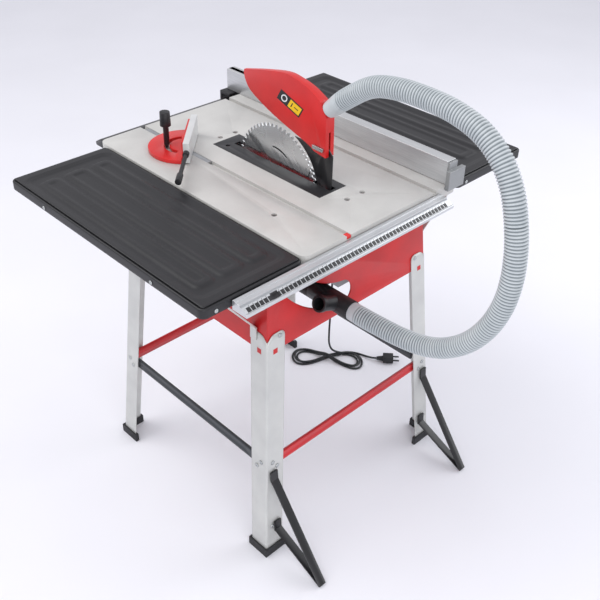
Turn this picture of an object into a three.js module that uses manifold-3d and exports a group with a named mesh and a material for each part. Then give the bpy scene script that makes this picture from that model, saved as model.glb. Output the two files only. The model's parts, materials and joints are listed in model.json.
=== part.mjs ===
// Table saw on a splayed stand, with a tilting saw unit, rip fence, mitre gauge and dust hose.
// Millimetres, +Z up. +X is the operator's right, +Y the way the wood is fed, the operator stands at -Y.
import * as THREE from 'three';
import { mergeVertices } from 'three/addons/utils/BufferGeometryUtils.js';
import Module from 'manifold-3d';

const wasm = await Module();
wasm.setup();

const gap = 0.3; // between pieces that touch

// ---- driving dimensions ----
const tableTop = 820;
const tableHalfWidth = 230;
const tableFront = -348;
const tableBack = 320;
const tableSheet = 5;
const lipBottom = 795;
const extensionTop = 817;
const extensionOuter = 469;
const extensionHalfDepth = 320;
const legFootX = 299; // outside corner of a leg at the floor
const legFootY = 289;
const legSplay = 0.0803; // inward lean per millimetre of height, both ways
const legTop = 600;
const footHeight = 24;
const bodyBottom = 556;
const bodyTop = lipBottom - gap;
const arborHeight = tableTop - 38;
const bladeRadius = 125;
const stabiliserReach = 440;
const handwheelFront = -343;

// ---- materials ----
function finish(color, roughness, metalness = 0) {
  return new THREE.MeshStandardMaterial({ color, roughness, metalness });
}
const paintedGrey = () => finish(0xc4c4c3, 0.5, 0.3);
const charcoal = () => finish(0x333238, 0.5, 0.3);
const legSteel = () => finish(0xc9cac8, 0.45, 0.5);
const redPlastic = () => finish(0xc82c2a, 0.4);
const redPaint = () => finish(0xc02834, 0.45, 0.2);
const darkPaint = () => finish(0x4a4b50, 0.45, 0.4);
const blackPlastic = () => finish(0x1b1b1e, 0.5);
const rubber = () => finish(0x17171a, 0.8);
const aluminium = () => finish(0xcfd1d4, 0.35, 0.8);
const steel = () => finish(0xb4b6b8, 0.3, 0.9);
const castMetal = () => finish(0x9b9da0, 0.5, 0.7);
const hosePlastic = () => finish(0xb4bec2, 0.45);
const greenPlastic = () => finish(0x2f9e4f, 0.4);

// ---- shape helpers ----
function toSolid(geometry) {
  const bare = geometry.clone();
  bare.deleteAttribute('normal');
  bare.deleteAttribute('uv');
  const merged = mergeVertices(bare, 1e-4);
  return new wasm.Manifold(new wasm.Mesh({
    numProp: 3,
    vertProperties: Float32Array.from(merged.attributes.position.array),
    triVerts: Uint32Array.from(merged.index.array),
  }));
}

function toGeometry(solid) {
  const mesh = solid.getMesh();
  const geometry = new THREE.BufferGeometry();
  geometry.setAttribute('position', new THREE.BufferAttribute(Float32Array.from(mesh.vertProperties), 3));
  geometry.setIndex(new THREE.BufferAttribute(Uint32Array.from(mesh.triVerts), 1));
  geometry.computeVertexNormals();
  return geometry;
}

function join(...geometries) {
  return toGeometry(geometries.map(toSolid).reduce((a, b) => a.add(b)));
}

function cut(base, ...tools) {
  return toGeometry(tools.map(toSolid).reduce((a, b) => a.subtract(b), toSolid(base)));
}

// box between two values on each axis
function block([x0, x1], [y0, y1], [z0, z1]) {
  return new THREE.BoxGeometry(x1 - x0, y1 - y0, z1 - z0)
    .translate((x0 + x1) / 2, (y0 + y1) / 2, (z0 + z1) / 2);
}

// cylinder or cone along an axis, from a centre at its low end
function rod(axis, [x, y, z], length, radius, sides = 24, endRadius = radius) {
  const geometry = new THREE.CylinderGeometry(endRadius, radius, length, sides).translate(0, length / 2, 0);
  if (axis === 'x') geometry.rotateZ(-Math.PI / 2);
  if (axis === 'z') geometry.rotateX(Math.PI / 2);
  return geometry.translate(x, y, z);
}

// outline given across the axis, carried along it from low to high
function prism(axis, outline, low, high, curveSegments = 6) {
  const shape = outline instanceof THREE.Shape ? outline : new THREE.Shape(outline.map((p) => new THREE.Vector2(...p)));
  const geometry = new THREE.ExtrudeGeometry(shape, { depth: high - low, bevelEnabled: false, curveSegments });
  const across = { x: [[0, 1, 0], [0, 0, 1], [1, 0, 0]], y: [[1, 0, 0], [0, 0, 1], [0, -1, 0]] }[axis];
  if (across) {
    const [a, b, c] = across.map((v) => new THREE.Vector3(...v));
    geometry.applyMatrix4(new THREE.Matrix4().makeBasis(a, b, c));
  }
  if (axis === 'x') return geometry.translate(low, 0, 0);
  if (axis === 'y') return geometry.translate(0, high, 0);
  return geometry.translate(0, 0, low);
}

function roundedRectangle(x0, y0, x1, y1, r) {
  const shape = new THREE.Shape();
  shape.moveTo(x0 + r, y0);
  shape.lineTo(x1 - r, y0);
  shape.absarc(x1 - r, y0 + r, r, -Math.PI / 2, 0);
  shape.lineTo(x1, y1 - r);
  shape.absarc(x1 - r, y1 - r, r, 0, Math.PI / 2);
  shape.lineTo(x0 + r, y1);
  shape.absarc(x0 + r, y1 - r, r, Math.PI / 2, Math.PI);
  shape.lineTo(x0, y0 + r);
  shape.absarc(x0 + r, y0 + r, r, Math.PI, Math.PI * 1.5);
  return shape;
}

// the mirror image across the planes x = 0 and y = 0, with its faces still outwards
function mirrored(geometry, signX, signY) {
  const copy = geometry.clone().scale(signX, signY, 1);
  if (signX * signY < 0) {
    const order = copy.index ?? new THREE.BufferAttribute(
      Uint32Array.from({ length: copy.attributes.position.count }, (_, i) => i), 1);
    const flipped = Uint32Array.from(order.array);
    for (let i = 0; i < flipped.length; i += 3) [flipped[i], flipped[i + 1]] = [flipped[i + 1], flipped[i]];
    copy.setIndex(new THREE.BufferAttribute(flipped, 1));
  }
  copy.computeVertexNormals();
  return copy;
}

// leans a shape like the legs: it moves inwards, both ways, as it goes up
function leaned(geometry) {
  return geometry.applyMatrix4(new THREE.Matrix4().set(
    1, 0, -legSplay, 0, 0, 1, -legSplay, 0, 0, 0, 1, 0, 0, 0, 0, 1));
}

// flat bar from one point to another, given its width direction
function bar(from, to, width, thickness, widthDirection) {
  const a = new THREE.Vector3(...from);
  const b = new THREE.Vector3(...to);
  const along = b.clone().sub(a);
  const length = along.length();
  along.normalize();
  const side = new THREE.Vector3(...widthDirection);
  side.addScaledVector(along, -side.dot(along)).normalize();
  const normal = new THREE.Vector3().crossVectors(along, side);
  return new THREE.BoxGeometry(length, width, thickness).translate(length / 2, 0, 0)
    .applyMatrix4(new THREE.Matrix4().makeBasis(along, side, normal)).translate(...from);
}

// round tube or rope along a smooth curve through points
function ropeAlong(points, radius, sides, steps) {
  const circle = new THREE.Shape();
  for (let i = 0; i < sides; i += 1) {
    const angle = (i / sides) * Math.PI * 2;
    const [x, y] = [Math.cos(angle) * radius, Math.sin(angle) * radius];
    if (i === 0) circle.moveTo(x, y);
    else circle.lineTo(x, y);
  }
  circle.closePath();
  const curve = new THREE.CatmullRomCurve3(points.map((p) => new THREE.Vector3(...p)), false, 'centripetal');
  return new THREE.ExtrudeGeometry(circle, { steps, extrudePath: curve, bevelEnabled: false });
}

const saw = new THREE.Group();
const model = new THREE.Group();
model.add(saw);

function add(name, geometry, material, parent = saw) {
  const mesh = new THREE.Mesh(geometry, material);
  mesh.name = name;
  parent.add(mesh);
  return mesh;
}

// ---- stand: four angle legs with feet, braces and stabilisers ----
const corners = [
  { name: 'rear_right', x: 1, y: 1 },
  { name: 'rear_left', x: -1, y: 1 },
  { name: 'front_right', x: 1, y: -1 },
  { name: 'front_left', x: -1, y: -1 },
];
const legFlange = 50;
const legSheet = 2;
const footGrip = 3;

function angleSection(flange, sheet, outset = 0) {
  const [x, y] = [legFootX + outset, legFootY + outset];
  return [[x, y], [x - flange, y], [x - flange, y - sheet], [x - sheet, y - sheet],
    [x - sheet, y - flange], [x, y - flange]];
}

// place of a leg's outer corner at a height
const legX = (z) => legFootX - legSplay * z;
const legY = (z) => legFootY - legSplay * z;

const leg = cut(
  leaned(prism('z', angleSection(legFlange, legSheet), footHeight / 2, legTop)),
  // each flange's free top corner is cut off at a slant
  ...['x', 'y'].map((axis) => {
    const free = (axis === 'x' ? legY : legX)(legTop) - legFlange;
    return prism(axis, [[free - 1, legTop - 24], [free + 20, legTop + 1], [free - 1, legTop + 1]], 150, 320);
  }),
);
const foot = cut(
  prism('z', angleSection(62, 10, footGrip), 0, footHeight),
  leaned(prism('z', angleSection(legFlange + 2 * gap, legSheet + 2 * gap, gap), footHeight / 2 - gap, footHeight + 10)),
);
for (const { name, x, y } of corners) {
  add(`leg_${name}`, mirrored(leg, x, y), legSteel());
  add(`foot_${name}`, mirrored(foot, x, y), rubber());
}

const braceHeight = 26;
const braceSheet = 8;
const braceZ = 262;
const braceEnd = 8; // how far a brace end laps past the middle of a leg's flange
for (const side of [1, -1]) {
  const along = legX(braceZ) - legSheet - gap - 12;
  const y = legY(braceZ + braceHeight) - legSheet - gap - 1.5;
  const place = side > 0 ? [y - braceSheet, y] : [-y, -y + braceSheet];
  add(side > 0 ? 'brace_rear' : 'brace_front',
    block([-along, along], place, [braceZ - braceHeight / 2, braceZ + braceHeight / 2]), redPaint());
}
for (const side of [1, -1]) {
  const along = legY(braceZ) - legSheet - gap - 30 - braceEnd;
  const x = legX(braceZ + braceHeight) - legSheet - gap - 1.5;
  const place = side > 0 ? [x - braceSheet, x] : [-x, -x + braceSheet];
  add(side > 0 ? 'brace_right' : 'brace_left',
    block(place, [-along, along], [braceZ - braceHeight / 2, braceZ + braceHeight / 2]), darkPaint());
}

// two flat strips bent into a V stand off each rear leg and reach back along the floor
const stripThickness = 4;
const stripWidth = 20;
const stabiliserUpper = 236;
const stabiliserLower = 84;
for (const side of [1, -1]) {
  const x = side * (legX(stabiliserUpper) - legFlange / 2 + 6);
  const geometry = join(
    bar([x, legY(stabiliserUpper) + 3, stabiliserUpper + 12], [x, legY(stabiliserUpper) + 5.5, stabiliserUpper - 16],
      stripWidth, stripThickness, [1, 0, 0]),
    bar([x, legY(stabiliserUpper) + 4.5, stabiliserUpper - 12], [x, stabiliserReach - 3.5, 4.5],
      stripWidth, stripThickness, [1, 0, 0]),
    bar([x, stabiliserReach - 3, 5], [x, legY(stabiliserLower) + 4, stabiliserLower - 12],
      stripWidth, stripThickness, [1, 0, 0]),
    bar([x, legY(stabiliserLower) + 5.5, stabiliserLower - 16], [x, legY(stabiliserLower) + 3.2, stabiliserLower + 12],
      stripWidth, stripThickness, [1, 0, 0]),
  );
  add(side > 0 ? 'stabiliser_right' : 'stabiliser_left', geometry, blackPlastic());
}

// ---- body: a leaning four-sided shell, open above and below ----
const bodyWall = 4;
const slotRadius = 215; // middle of the curved slots, about the tilt axis
const slotHalfWidth = 28;
const tiltRange = 45;

function bodyShell(outset) {
  const section = new THREE.Shape([
    [-1, -1], [1, -1], [1, 1], [-1, 1],
  ].map(([x, y]) => new THREE.Vector2(x, y)));
  const geometry = new THREE.ExtrudeGeometry(section, { depth: 1, bevelEnabled: false });
  const position = geometry.attributes.position;
  for (let i = 0; i < position.count; i += 1) {
    const z = bodyBottom + position.getZ(i) * (bodyTop - bodyBottom);
    const x = legX(z) - legSheet - gap - outset;
    const y = legY(z) - legSheet - gap - outset;
    const beyond = outset > 0 ? (position.getZ(i) > 0.5 ? 5 : -5) : 0;
    position.setXYZ(i, position.getX(i) * x, position.getY(i) * y, z + beyond);
  }
  return geometry;
}

// curved slot about the tilt axis, from straight down towards +X, given in x and z
function tiltSlot(radius, halfWidth, from, to) {
  const shape = new THREE.Shape();
  const start = THREE.MathUtils.degToRad(from) - Math.PI / 2;
  const end = THREE.MathUtils.degToRad(to) - Math.PI / 2;
  shape.absarc(0, tableTop, radius + halfWidth, start, end, false);
  shape.absarc(Math.cos(end) * radius, tableTop + Math.sin(end) * radius, halfWidth, end, end + Math.PI, false);
  shape.absarc(0, tableTop, radius - halfWidth, end, start, true);
  shape.absarc(Math.cos(start) * radius, tableTop + Math.sin(start) * radius, halfWidth, start + Math.PI,
    start + 2 * Math.PI, false);
  return shape;
}

const handwheelHeight = 600;
const handwheelOffset = -50; // the height screw is left of the blade
const shaftRadius = Math.hypot(handwheelOffset, tableTop - handwheelHeight);
const shaftAngle = THREE.MathUtils.radToDeg(Math.atan2(handwheelOffset, tableTop - handwheelHeight));
const lockAngle = shaftAngle - 24;
const switchPlace = { x: -202, z: 640, halfWidth: 34, halfHeight: 50 };

add('housing', cut(
  bodyShell(0),
  bodyShell(bodyWall),
  prism('y', tiltSlot(slotRadius, slotHalfWidth, 7.5, 18 + tiltRange), 150, 300, 8),
  prism('y', tiltSlot(shaftRadius, 13, lockAngle, shaftAngle + tiltRange), -300, -150, 8),
), redPlastic());

// ---- main table: top sheet with a lip, two mitre slots and the opening for the insert ----
const slotRight = 110;
const slotLeft = -150;
const slotWidth = 13;
const slotDepth = 8;
const insertOpening = { x: [-32, 48], y: [-165, 178] };

const channel = (x) => block([x - 10, x + 10], [tableFront + 4, tableBack - 4], [tableTop - slotDepth - 3, tableTop - 2]);
const groove = (x) => block([x - slotWidth / 2, x + slotWidth / 2], [tableFront - 1, tableBack + 1],
  [tableTop - slotDepth, tableTop + 1]);
const tableHole = (x, y, r = 6.5) => rod('z', [x, y, tableTop - 20], 30, r, 12);
const frontRib = block([-tableHalfWidth + 3, tableHalfWidth - 3], [-224, -219], [lipBottom, tableTop - 2]);
const rearRib = block([-tableHalfWidth + 3, tableHalfWidth - 3], [219, 224], [lipBottom, tableTop - 2]);
const tableShell = cut(
  prism('z', roundedRectangle(-tableHalfWidth, tableFront, tableHalfWidth, tableBack, 18), lipBottom, tableTop),
  prism('z', roundedRectangle(-tableHalfWidth + 3, tableFront + 3, tableHalfWidth - 3, tableBack - 3, 15),
    lipBottom - 1, tableTop - tableSheet),
);
// cast brackets under the table that the curved trunnions of the saw unit slide in
const trunnionFace = 182;
const trunnionSheet = 8;
const trunnionGuides = [1, -1].map((side) => {
  const arc = new THREE.Shape();
  const [from, to] = [-30, 30].map((a) => THREE.MathUtils.degToRad(a) - Math.PI / 2);
  arc.absarc(0, tableTop, 124, from, to, false);
  arc.absarc(0, tableTop, 110.6, to, from, true);
  const web = [[-70, tableTop - 124], [70, tableTop - 124], [70, tableTop - 60], [90, tableTop - 60],
    [90, tableTop - 3], [-90, tableTop - 3], [-90, tableTop - 60], [-70, tableTop - 60]];
  const near = trunnionFace + trunnionSheet + 0.5;
  return mirrored(join(
    prism('y', arc, trunnionFace + gap, near + 2, 12),
    prism('y', web, near, near + 8),
  ), 1, side);
});
add('main_table', cut(
  join(tableShell, channel(slotRight), channel(slotLeft), frontRib, rearRib, ...trunnionGuides),
  groove(slotRight),
  groove(slotLeft),
  block(insertOpening.x, insertOpening.y, [tableTop - 40, tableTop + 1]),
  ...[[12, -181], [-32, -179], [163, 166], [9, 219], [-37, 219]].map(([x, y]) => tableHole(x, y)),
), paintedGrey());

const insertSheet = 4;
add('table_insert', cut(
  block([insertOpening.x[0] + gap, insertOpening.x[1] - gap], [insertOpening.y[0] + gap, insertOpening.y[1] - gap],
    [tableTop - insertSheet, tableTop]),
  block([-8, 9], [-135, 170], [tableTop - 10, tableTop + 1]),
  tableHole(27, -136, 5),
), blackPlastic());

// ---- table extensions: pressed trays with a skirt ----
for (const side of [1, -1]) {
  const [inner, outer] = [tableHalfWidth + 0.5, extensionOuter];
  const tray = cut(
    prism('z', roundedRectangle(inner, -extensionHalfDepth, outer, extensionHalfDepth, 10), extensionTop - 20, extensionTop),
    prism('z', roundedRectangle(inner + 2, -extensionHalfDepth + 2, outer - 2, extensionHalfDepth - 2, 8),
      extensionTop - 21, extensionTop - 3),
  );
  add(side > 0 ? 'extension_right' : 'extension_left', mirrored(tray, side, 1), charcoal());
}

// struts from the tops of the legs to the undersides of the extensions
for (const { name, x, y } of corners) {
  const foldEnd = 24;
  const low = [legX(legTop) + 3.2, legY(legTop) - 38, legTop - 12];
  const high = x > 0 ? [extensionOuter - 48, 292, extensionTop - 7.5] : [352, 258, extensionTop - 7.5];
  const strut = join(
    bar([low[0], low[1], low[2] - 8], [low[0] - 0.5, low[1], low[2] + foldEnd], 18, 3, [0, 1, 0]),
    bar([low[0] - 0.5, low[1], low[2] + foldEnd - 2], [high[0], high[1], high[2]], 18, 3, [0, 1, 0]),
    block([high[0] - 4, high[0] + foldEnd], [high[1] - 9, high[1] + 9], [high[2] + 1, high[2] + 4]),
  );
  add(`strut_${name}`, mirrored(strut, x, y), legSteel());
}

// ---- rails for the fence, front and rear ----
const railInner = tableBack + 2;
const railOutline = [[0, 0], [38, 0], [40, 3], [40, 8], [24, 18], [8, 20], [0, 20]];
const railBase = 792;
const rearRailEnds = [-165, 405];
const frontRailEnds = [-215, 215];
add('rear_rail', prism('x', railOutline.map(([y, z]) => [railInner + y, railBase + z]), ...rearRailEnds), aluminium());
add('front_rail', prism('x', railOutline.map(([y, z]) => [tableFront - 2 - y, railBase + z]).reverse(),
  ...frontRailEnds), aluminium());
// ---- saw unit: everything here tilts about the table's surface line ----
const frameX = [-60, -20];
const frameBottom = [568, 584];
const frameTop = [796, 804];
const frameY = 182;

function trunnionSector() {
  const shape = new THREE.Shape();
  const [from, to] = [-72, 27].map((a) => THREE.MathUtils.degToRad(a) - Math.PI / 2);
  shape.absarc(0, tableTop, 110, from, to, false);
  shape.absarc(0, tableTop, 40, to, from, true);
  return shape;
}
const slideFrame = cut(
  block(frameX, [-frameY, frameY], [frameBottom[0], frameTop[1]]),
  block([frameX[0] - 1, frameX[1] + 1], [-frameY + 22, frameY - 22], [frameBottom[1], frameTop[0]]),
  rod('y', [handwheelOffset, -frameY - 5, handwheelHeight], 40, 5.4, 24),
);
const trunnions = [-frameY - 8, frameY - 1].map((low) => prism('y', trunnionSector(), low, low + 9, 14));
const guideRods = [-140, 140].map((y) => rod('z', [-30, y, frameBottom[1] - 2],
  frameTop[0] - frameBottom[1] + 4, 6, 20));
add('tilt_frame', join(slideFrame, ...trunnions, ...guideRods), castMetal());

// height screw with its bevel gear, turned by the handwheel's shaft
const screwY = -100;
const bevelFace = [8, 15];
add('height_screw', join(
  rod('z', [handwheelOffset, screwY, frameBottom[1] + gap], frameTop[0] - frameBottom[1] - 2 * gap, 5, 16),
  rod('z', [handwheelOffset, screwY, handwheelHeight - bevelFace[1]], bevelFace[1] - bevelFace[0],
    bevelFace[1] - 0.5, 20, bevelFace[0] - 0.5),
), steel());
// ---- handwheel with its crank grip ----
const wheelBack = handwheelFront + 42;
const wheelRadius = 68;
add('handwheel_shaft', join(
  rod('y', [handwheelOffset, wheelBack - 8, handwheelHeight], screwY - bevelFace[0] - wheelBack + 8, 4.95, 16),
  rod('y', [handwheelOffset, screwY - bevelFace[1], handwheelHeight], bevelFace[1] - bevelFace[0],
    bevelFace[1] - 0.5, 20, bevelFace[0] - 0.5),
), steel());
const wheelRim = new THREE.TorusGeometry(wheelRadius - 8, 8, 8, 32).rotateX(Math.PI / 2)
  .translate(handwheelOffset, wheelBack - 10, handwheelHeight);
const spokes = [0, 1, 2].map((i) => new THREE.BoxGeometry(wheelRadius - 6, 8, 13)
  .translate((wheelRadius - 6) / 2, 0, 0).rotateY((i * Math.PI * 2) / 3)
  .translate(handwheelOffset, wheelBack - 9, handwheelHeight));
const gripPlace = [handwheelOffset + wheelRadius - 14, handwheelHeight];
add('handwheel', cut(
  join(wheelRim, ...spokes, rod('y', [handwheelOffset, wheelBack - 20, handwheelHeight], 18, 16, 20),
    rod('y', [gripPlace[0], wheelBack - 18, gripPlace[1]], 14, 9, 16)),
  rod('y', [handwheelOffset, wheelBack - 8.3, handwheelHeight], 40, 5.3, 16),
  rod('y', [gripPlace[0], wheelBack - 30, gripPlace[1]], 40, 3.6, 12),
), blackPlastic());
add('crank_grip', join(
  rod('y', [gripPlace[0], handwheelFront, gripPlace[1]], 22, 10, 16, 9),
  rod('y', [gripPlace[0], handwheelFront + 20, gripPlace[1]], 14, 3.3, 12),
), blackPlastic());

// tilt lock: a knob in the same curved slot clamps the saw unit to the front panel
const lockPlace = [
  Math.sin(THREE.MathUtils.degToRad(lockAngle)) * shaftRadius,
  tableTop - Math.cos(THREE.MathUtils.degToRad(lockAngle)) * shaftRadius,
];
add('tilt_lock_knob', join(
  rod('y', [lockPlace[0], -264, lockPlace[1]], 22.4, 17, 12, 15),
  rod('y', [lockPlace[0], -242, lockPlace[1]], 22, 4, 12),
  rod('y', [lockPlace[0], -228, lockPlace[1]], 5, 16, 16),
), blackPlastic());

// ---- lift carriage with the gearbox, motor, arbor and blade ----
const motorAxis = 705;
const gearboxShape = new THREE.Shape();
gearboxShape.absarc(0, motorAxis, 34, Math.PI * 1.02, Math.PI * 1.98, false);
gearboxShape.absarc(0, arborHeight, 13, -Math.PI * 0.02, Math.PI * 1.02, false);
gearboxShape.closePath();
add('lift_carriage', cut(
  join(
    block([-58, -21], [-152, 152], [704, 732]),
    prism('x', gearboxShape, -61.5, -14, 8),
    block([-24, -1.5], [130, 158], [704, 732]),
  ),
  rod('z', [-30, -140, 600], 200, 6.4, 20),
  rod('z', [-30, 140, 600], 200, 6.4, 20),
  rod('z', [handwheelOffset, screwY, 600], 200, 5.4, 16),
  rod('x', [-36, 0, arborHeight], 40, 8.3, 20),
), castMetal());
add('motor', join(
  rod('x', [-196, 0, motorAxis], 134, 50, 28),
  block([-180, -80], [-58, 58], [motorAxis - 12, motorAxis + 12]),
  rod('x', [-212, 0, motorAxis], 18, 42, 28, 48),
), darkPaint());

const boreRadius = 8.3;
const flangeRadius = 22;
function washer(x, thickness, radius, sides = 28) {
  return cut(rod('x', [x, 0, arborHeight], thickness, radius, sides),
    rod('x', [x - 5, 0, arborHeight], thickness + 10, boreRadius, 20));
}
const plateHalf = 1.2;
add('arbor_shaft', join(
  rod('x', [-35, 0, arborHeight], 52, 8, 20),
  rod('x', [-9, 0, arborHeight], 9 - plateHalf - gap, flangeRadius, 28),
), steel());
add('flange_nut', join(
  washer(plateHalf + gap, 4.5, flangeRadius),
  washer(plateHalf + gap + 4, 8.5, 13, 6),
), steel());

const toothCount = 60;
const bladeOutline = new THREE.Shape();
for (let i = 0; i < toothCount; i += 1) {
  const at = (part, r) => {
    const angle = ((i + part) / toothCount) * Math.PI * 2;
    return [Math.cos(angle) * r, arborHeight + Math.sin(angle) * r];
  };
  const points = [at(0, bladeRadius), at(0.35, bladeRadius - 1), at(0.62, bladeRadius - 7.5), at(0.92, bladeRadius - 8)];
  for (const [j, p] of points.entries()) {
    if (i === 0 && j === 0) bladeOutline.moveTo(...p);
    else bladeOutline.lineTo(...p);
  }
}
bladeOutline.closePath();
add('saw_blade', cut(
  prism('x', bladeOutline, -plateHalf, plateHalf),
  rod('x', [-5, 0, arborHeight], 10, boreRadius, 20),
), steel());

// ---- riving knife, kept a little behind the blade's rim, on a bracket from the carriage ----
const knifeGap = 5;
const knifeBack = 166;
const knifeTop = 938;
const knifeShape = new THREE.Shape();
const knifeInner = bladeRadius + knifeGap;
const knifeLow = 60; // the knife's inner edge follows the blade from this far below the arbor
const knifeHigh = 118; // up to this far above it
knifeShape.moveTo(knifeBack, 690);
knifeShape.lineTo(knifeBack, 893);
knifeShape.lineTo(knifeBack - 16, 908);
knifeShape.lineTo(knifeBack - 16, knifeTop - 8);
knifeShape.lineTo(knifeBack - 22, knifeTop);
knifeShape.lineTo(84, arborHeight + knifeHigh);
knifeShape.absarc(0, arborHeight, knifeInner, Math.asin(knifeHigh / knifeInner), -Math.asin(knifeLow / knifeInner), true);
knifeShape.lineTo(Math.cos(Math.asin(knifeLow / knifeInner)) * knifeInner, 690);
knifeShape.closePath();
const guardPivot = [136, 905];
add('riving_knife', cut(
  prism('x', knifeShape, -1.2, 1.2, 12),
  rod('x', [-5, ...guardPivot], 10, 3.6, 12),
), blackPlastic());

// ---- blade guard: hollow hood on the knife, with an outlet for the hose ----
const guardHalf = 12; // half its width at the rear; it narrows in a straight line to the nose
const guardNoseShare = 0.3;
const guardWall = 2;
const guardNose = -103;
const guardRear = 156;
const guardHalfAt = (y) => guardHalf * (guardNoseShare + (1 - guardNoseShare) * (y - guardNose) / (guardRear - guardNose));

function narrowed(geometry) {
  const position = geometry.attributes.position;
  for (let i = 0; i < position.count; i += 1) {
    position.setX(i, position.getX(i) * guardHalfAt(position.getY(i)) / guardHalf);
  }
  return geometry;
}

function through(points, count) {
  return new THREE.SplineCurve(points.map((p) => new THREE.Vector2(...p))).getPoints(count).map((p) => [p.x, p.y]);
}

// a rising back, a slanted face for the hose, an upright rear and a lower edge that falls from the nose
const guardOutline = [
  ...through([[-102, 1003], [-33, 1020], [30, 1032], [67, 1029], [103, 1020], [136, 1004]], 20),
  [154, 975], [guardRear, 889],
  ...through([[121, 893], [102, 902], [31, 920], [-25, 937], [-79, 960], [-97, 979], [guardNose, 994]], 16),
];
const guardInner = [
  ...through([[-98, 1000], [-33, 1017], [30, 1029], [67, 1026], [102, 1017], [133.5, 1001.5]], 20),
  [151.2, 973], [guardRear - 2.5, 865], [121, 865], [102, 876], [31, 896], [-25, 913], [-79, 936], [-96, 953],
];
const outletCentre = [0, 147, 986];
const outletAxis = new THREE.Vector3(0, 0.77, 0.64).normalize();
const collarEnd = 5.4;
function alongOutlet(length, radius, start = 0, sides = 28) {
  const turn = new THREE.Quaternion().setFromUnitVectors(new THREE.Vector3(0, 1, 0), outletAxis);
  return new THREE.CylinderGeometry(radius, radius, length, sides).translate(0, length / 2 + start, 0)
    .applyQuaternion(turn).translate(...outletCentre);
}
add('blade_guard', cut(
  join(narrowed(prism('x', guardOutline, -guardHalf, guardHalf)), alongOutlet(collarEnd + 8, 10.5, -8)),
  narrowed(prism('x', guardInner, -guardHalf + guardWall, guardHalf - guardWall)),
  alongOutlet(60, 8.2, -30),
  rod('x', [-30, ...guardPivot], 60, 3.6, 12),
  // the knife leaves through the rear wall
  block([-2.4, 2.4], [guardRear - 8, guardRear + 5], [860, 942]),
), redPlastic());
const wingSpan = 15;
const wingFace = guardHalfAt(guardPivot[0] + wingSpan) + gap;
const nutFace = guardHalfAt(guardPivot[0] + 7) + gap;
add('guard_wing_screw', join(
  rod('x', [-nutFace - 3, ...guardPivot], nutFace + 3 + wingFace + 2, 3.2, 12),
  block([wingFace, wingFace + 4.5], [guardPivot[0] - wingSpan, guardPivot[0] + wingSpan],
    [guardPivot[1] - 4, guardPivot[1] + 4]),
  rod('x', [-nutFace - 6, ...guardPivot], 6, 7, 6),
), steel());

// ---- dust chute round the lower half of the blade, its outlet at the back right ----
function chuteOutline(inset) {
  const shape = new THREE.Shape();
  shape.moveTo(-142 + inset, 775 + inset);
  shape.lineTo(-142 + inset, 697);
  shape.absarc(0, 697, 142 - inset, Math.PI, Math.PI * 1.5, false);
  shape.lineTo(128, 555 + inset);
  shape.absarc(128, 597, 42 - inset, -Math.PI / 2, 0, false);
  shape.lineTo(170 - inset, 775 + inset);
  shape.closePath();
  return shape;
}
const outletX = 68;
const outletZ = 612;
const outletPipeEnd = 190;
const pipeOuter = 22;
const pipeInner = 19;
add('dust_chute', cut(
  join(
    prism('x', chuteOutline(0), -14, 28, 8),
    block([24, outletX], [98, 150], [outletZ - 24, outletZ + 24]),
    rod('y', [outletX, 98, outletZ], 52, 24, 24),
    rod('y', [outletX, 145, outletZ], outletPipeEnd - 145, pipeOuter, 24),
  ),
  prism('x', chuteOutline(2.5), -20, 25.5, 8),
  block([20, outletX], [100.5, 147.5], [outletZ - 21.5, outletZ + 21.5]),
  rod('y', [outletX, 100.5, outletZ], 47, 21.5, 24),
  rod('y', [outletX, 140, outletZ], 80, pipeInner, 24),
), blackPlastic());

// ---- Y-connector: a straight pipe to the hose and a side port for a dust extractor ----
const connectorEnd = 304;
const port = { y: 262, outer: 16.5, inner: 14, collar: 18.5, reach: 63, rise: THREE.MathUtils.degToRad(22.5) };
const portRod = (start, length, radius) => rod('x', [start, 0, 0], length, radius, 24)
  .rotateY(-port.rise).translate(outletX, port.y, outletZ);
add('y_connector', cut(
  join(
    rod('y', [outletX, outletPipeEnd + gap, outletZ], connectorEnd - outletPipeEnd - gap, pipeOuter, 24),
    portRod(0, port.reach, port.outer),
    portRod(port.reach - 10, 10, port.collar),
  ),
  rod('y', [outletX, outletPipeEnd - 10, outletZ], connectorEnd - outletPipeEnd + 30, pipeInner, 24),
  portRod(0, port.reach + 20, port.inner),
), blackPlastic());

// ---- hose from the guard's outlet round behind the saw to the connector ----
const hoseRadius = 21;
const alongAxis = (t) => outletCentre.map((v, i) => v + outletAxis.getComponent(i) * t);
const hoseStart = 6;
const hoseRoute = [
  alongAxis(hoseStart), alongAxis(68), [2, 262, 1070], [4, 325, 1085], [6, 394, 1088], [10, 460, 1084],
  [14, 519, 1068], [18, 564, 1038], [23, 598, 994], [28, 621, 933], [32, 632, 880], [36, 635, 832],
  [40, 630, 784], [45, 612, 730], [50, 578, 678], [55, 532, 640], [59, 486, 621], [63, 430, 613],
  [66, 380, outletZ], [outletX, 345, outletZ], [outletX, connectorEnd + 2 * gap, outletZ],
];
const hosePath = new THREE.CatmullRomCurve3(hoseRoute.map((p) => new THREE.Vector3(...p)), false, 'centripetal');
const hoseSteps = 25;
const hoseJoint = 0.5; // the two halves of the hose meet here, as a fraction of its length
const jointGap = 0.0006;
function hosePart(from, to) {
  const points = Array.from({ length: hoseSteps + 1 }, (_, i) => hosePath
    .getPointAt(from + ((to - from) * i) / hoseSteps).toArray());
  return ropeAlong(points, hoseRadius, 12, hoseSteps);
}
add('hose_upper', hosePart(0, hoseJoint - jointGap), hosePlastic());
add('hose_lower', hosePart(hoseJoint + jointGap, 1), hosePlastic());

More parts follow.
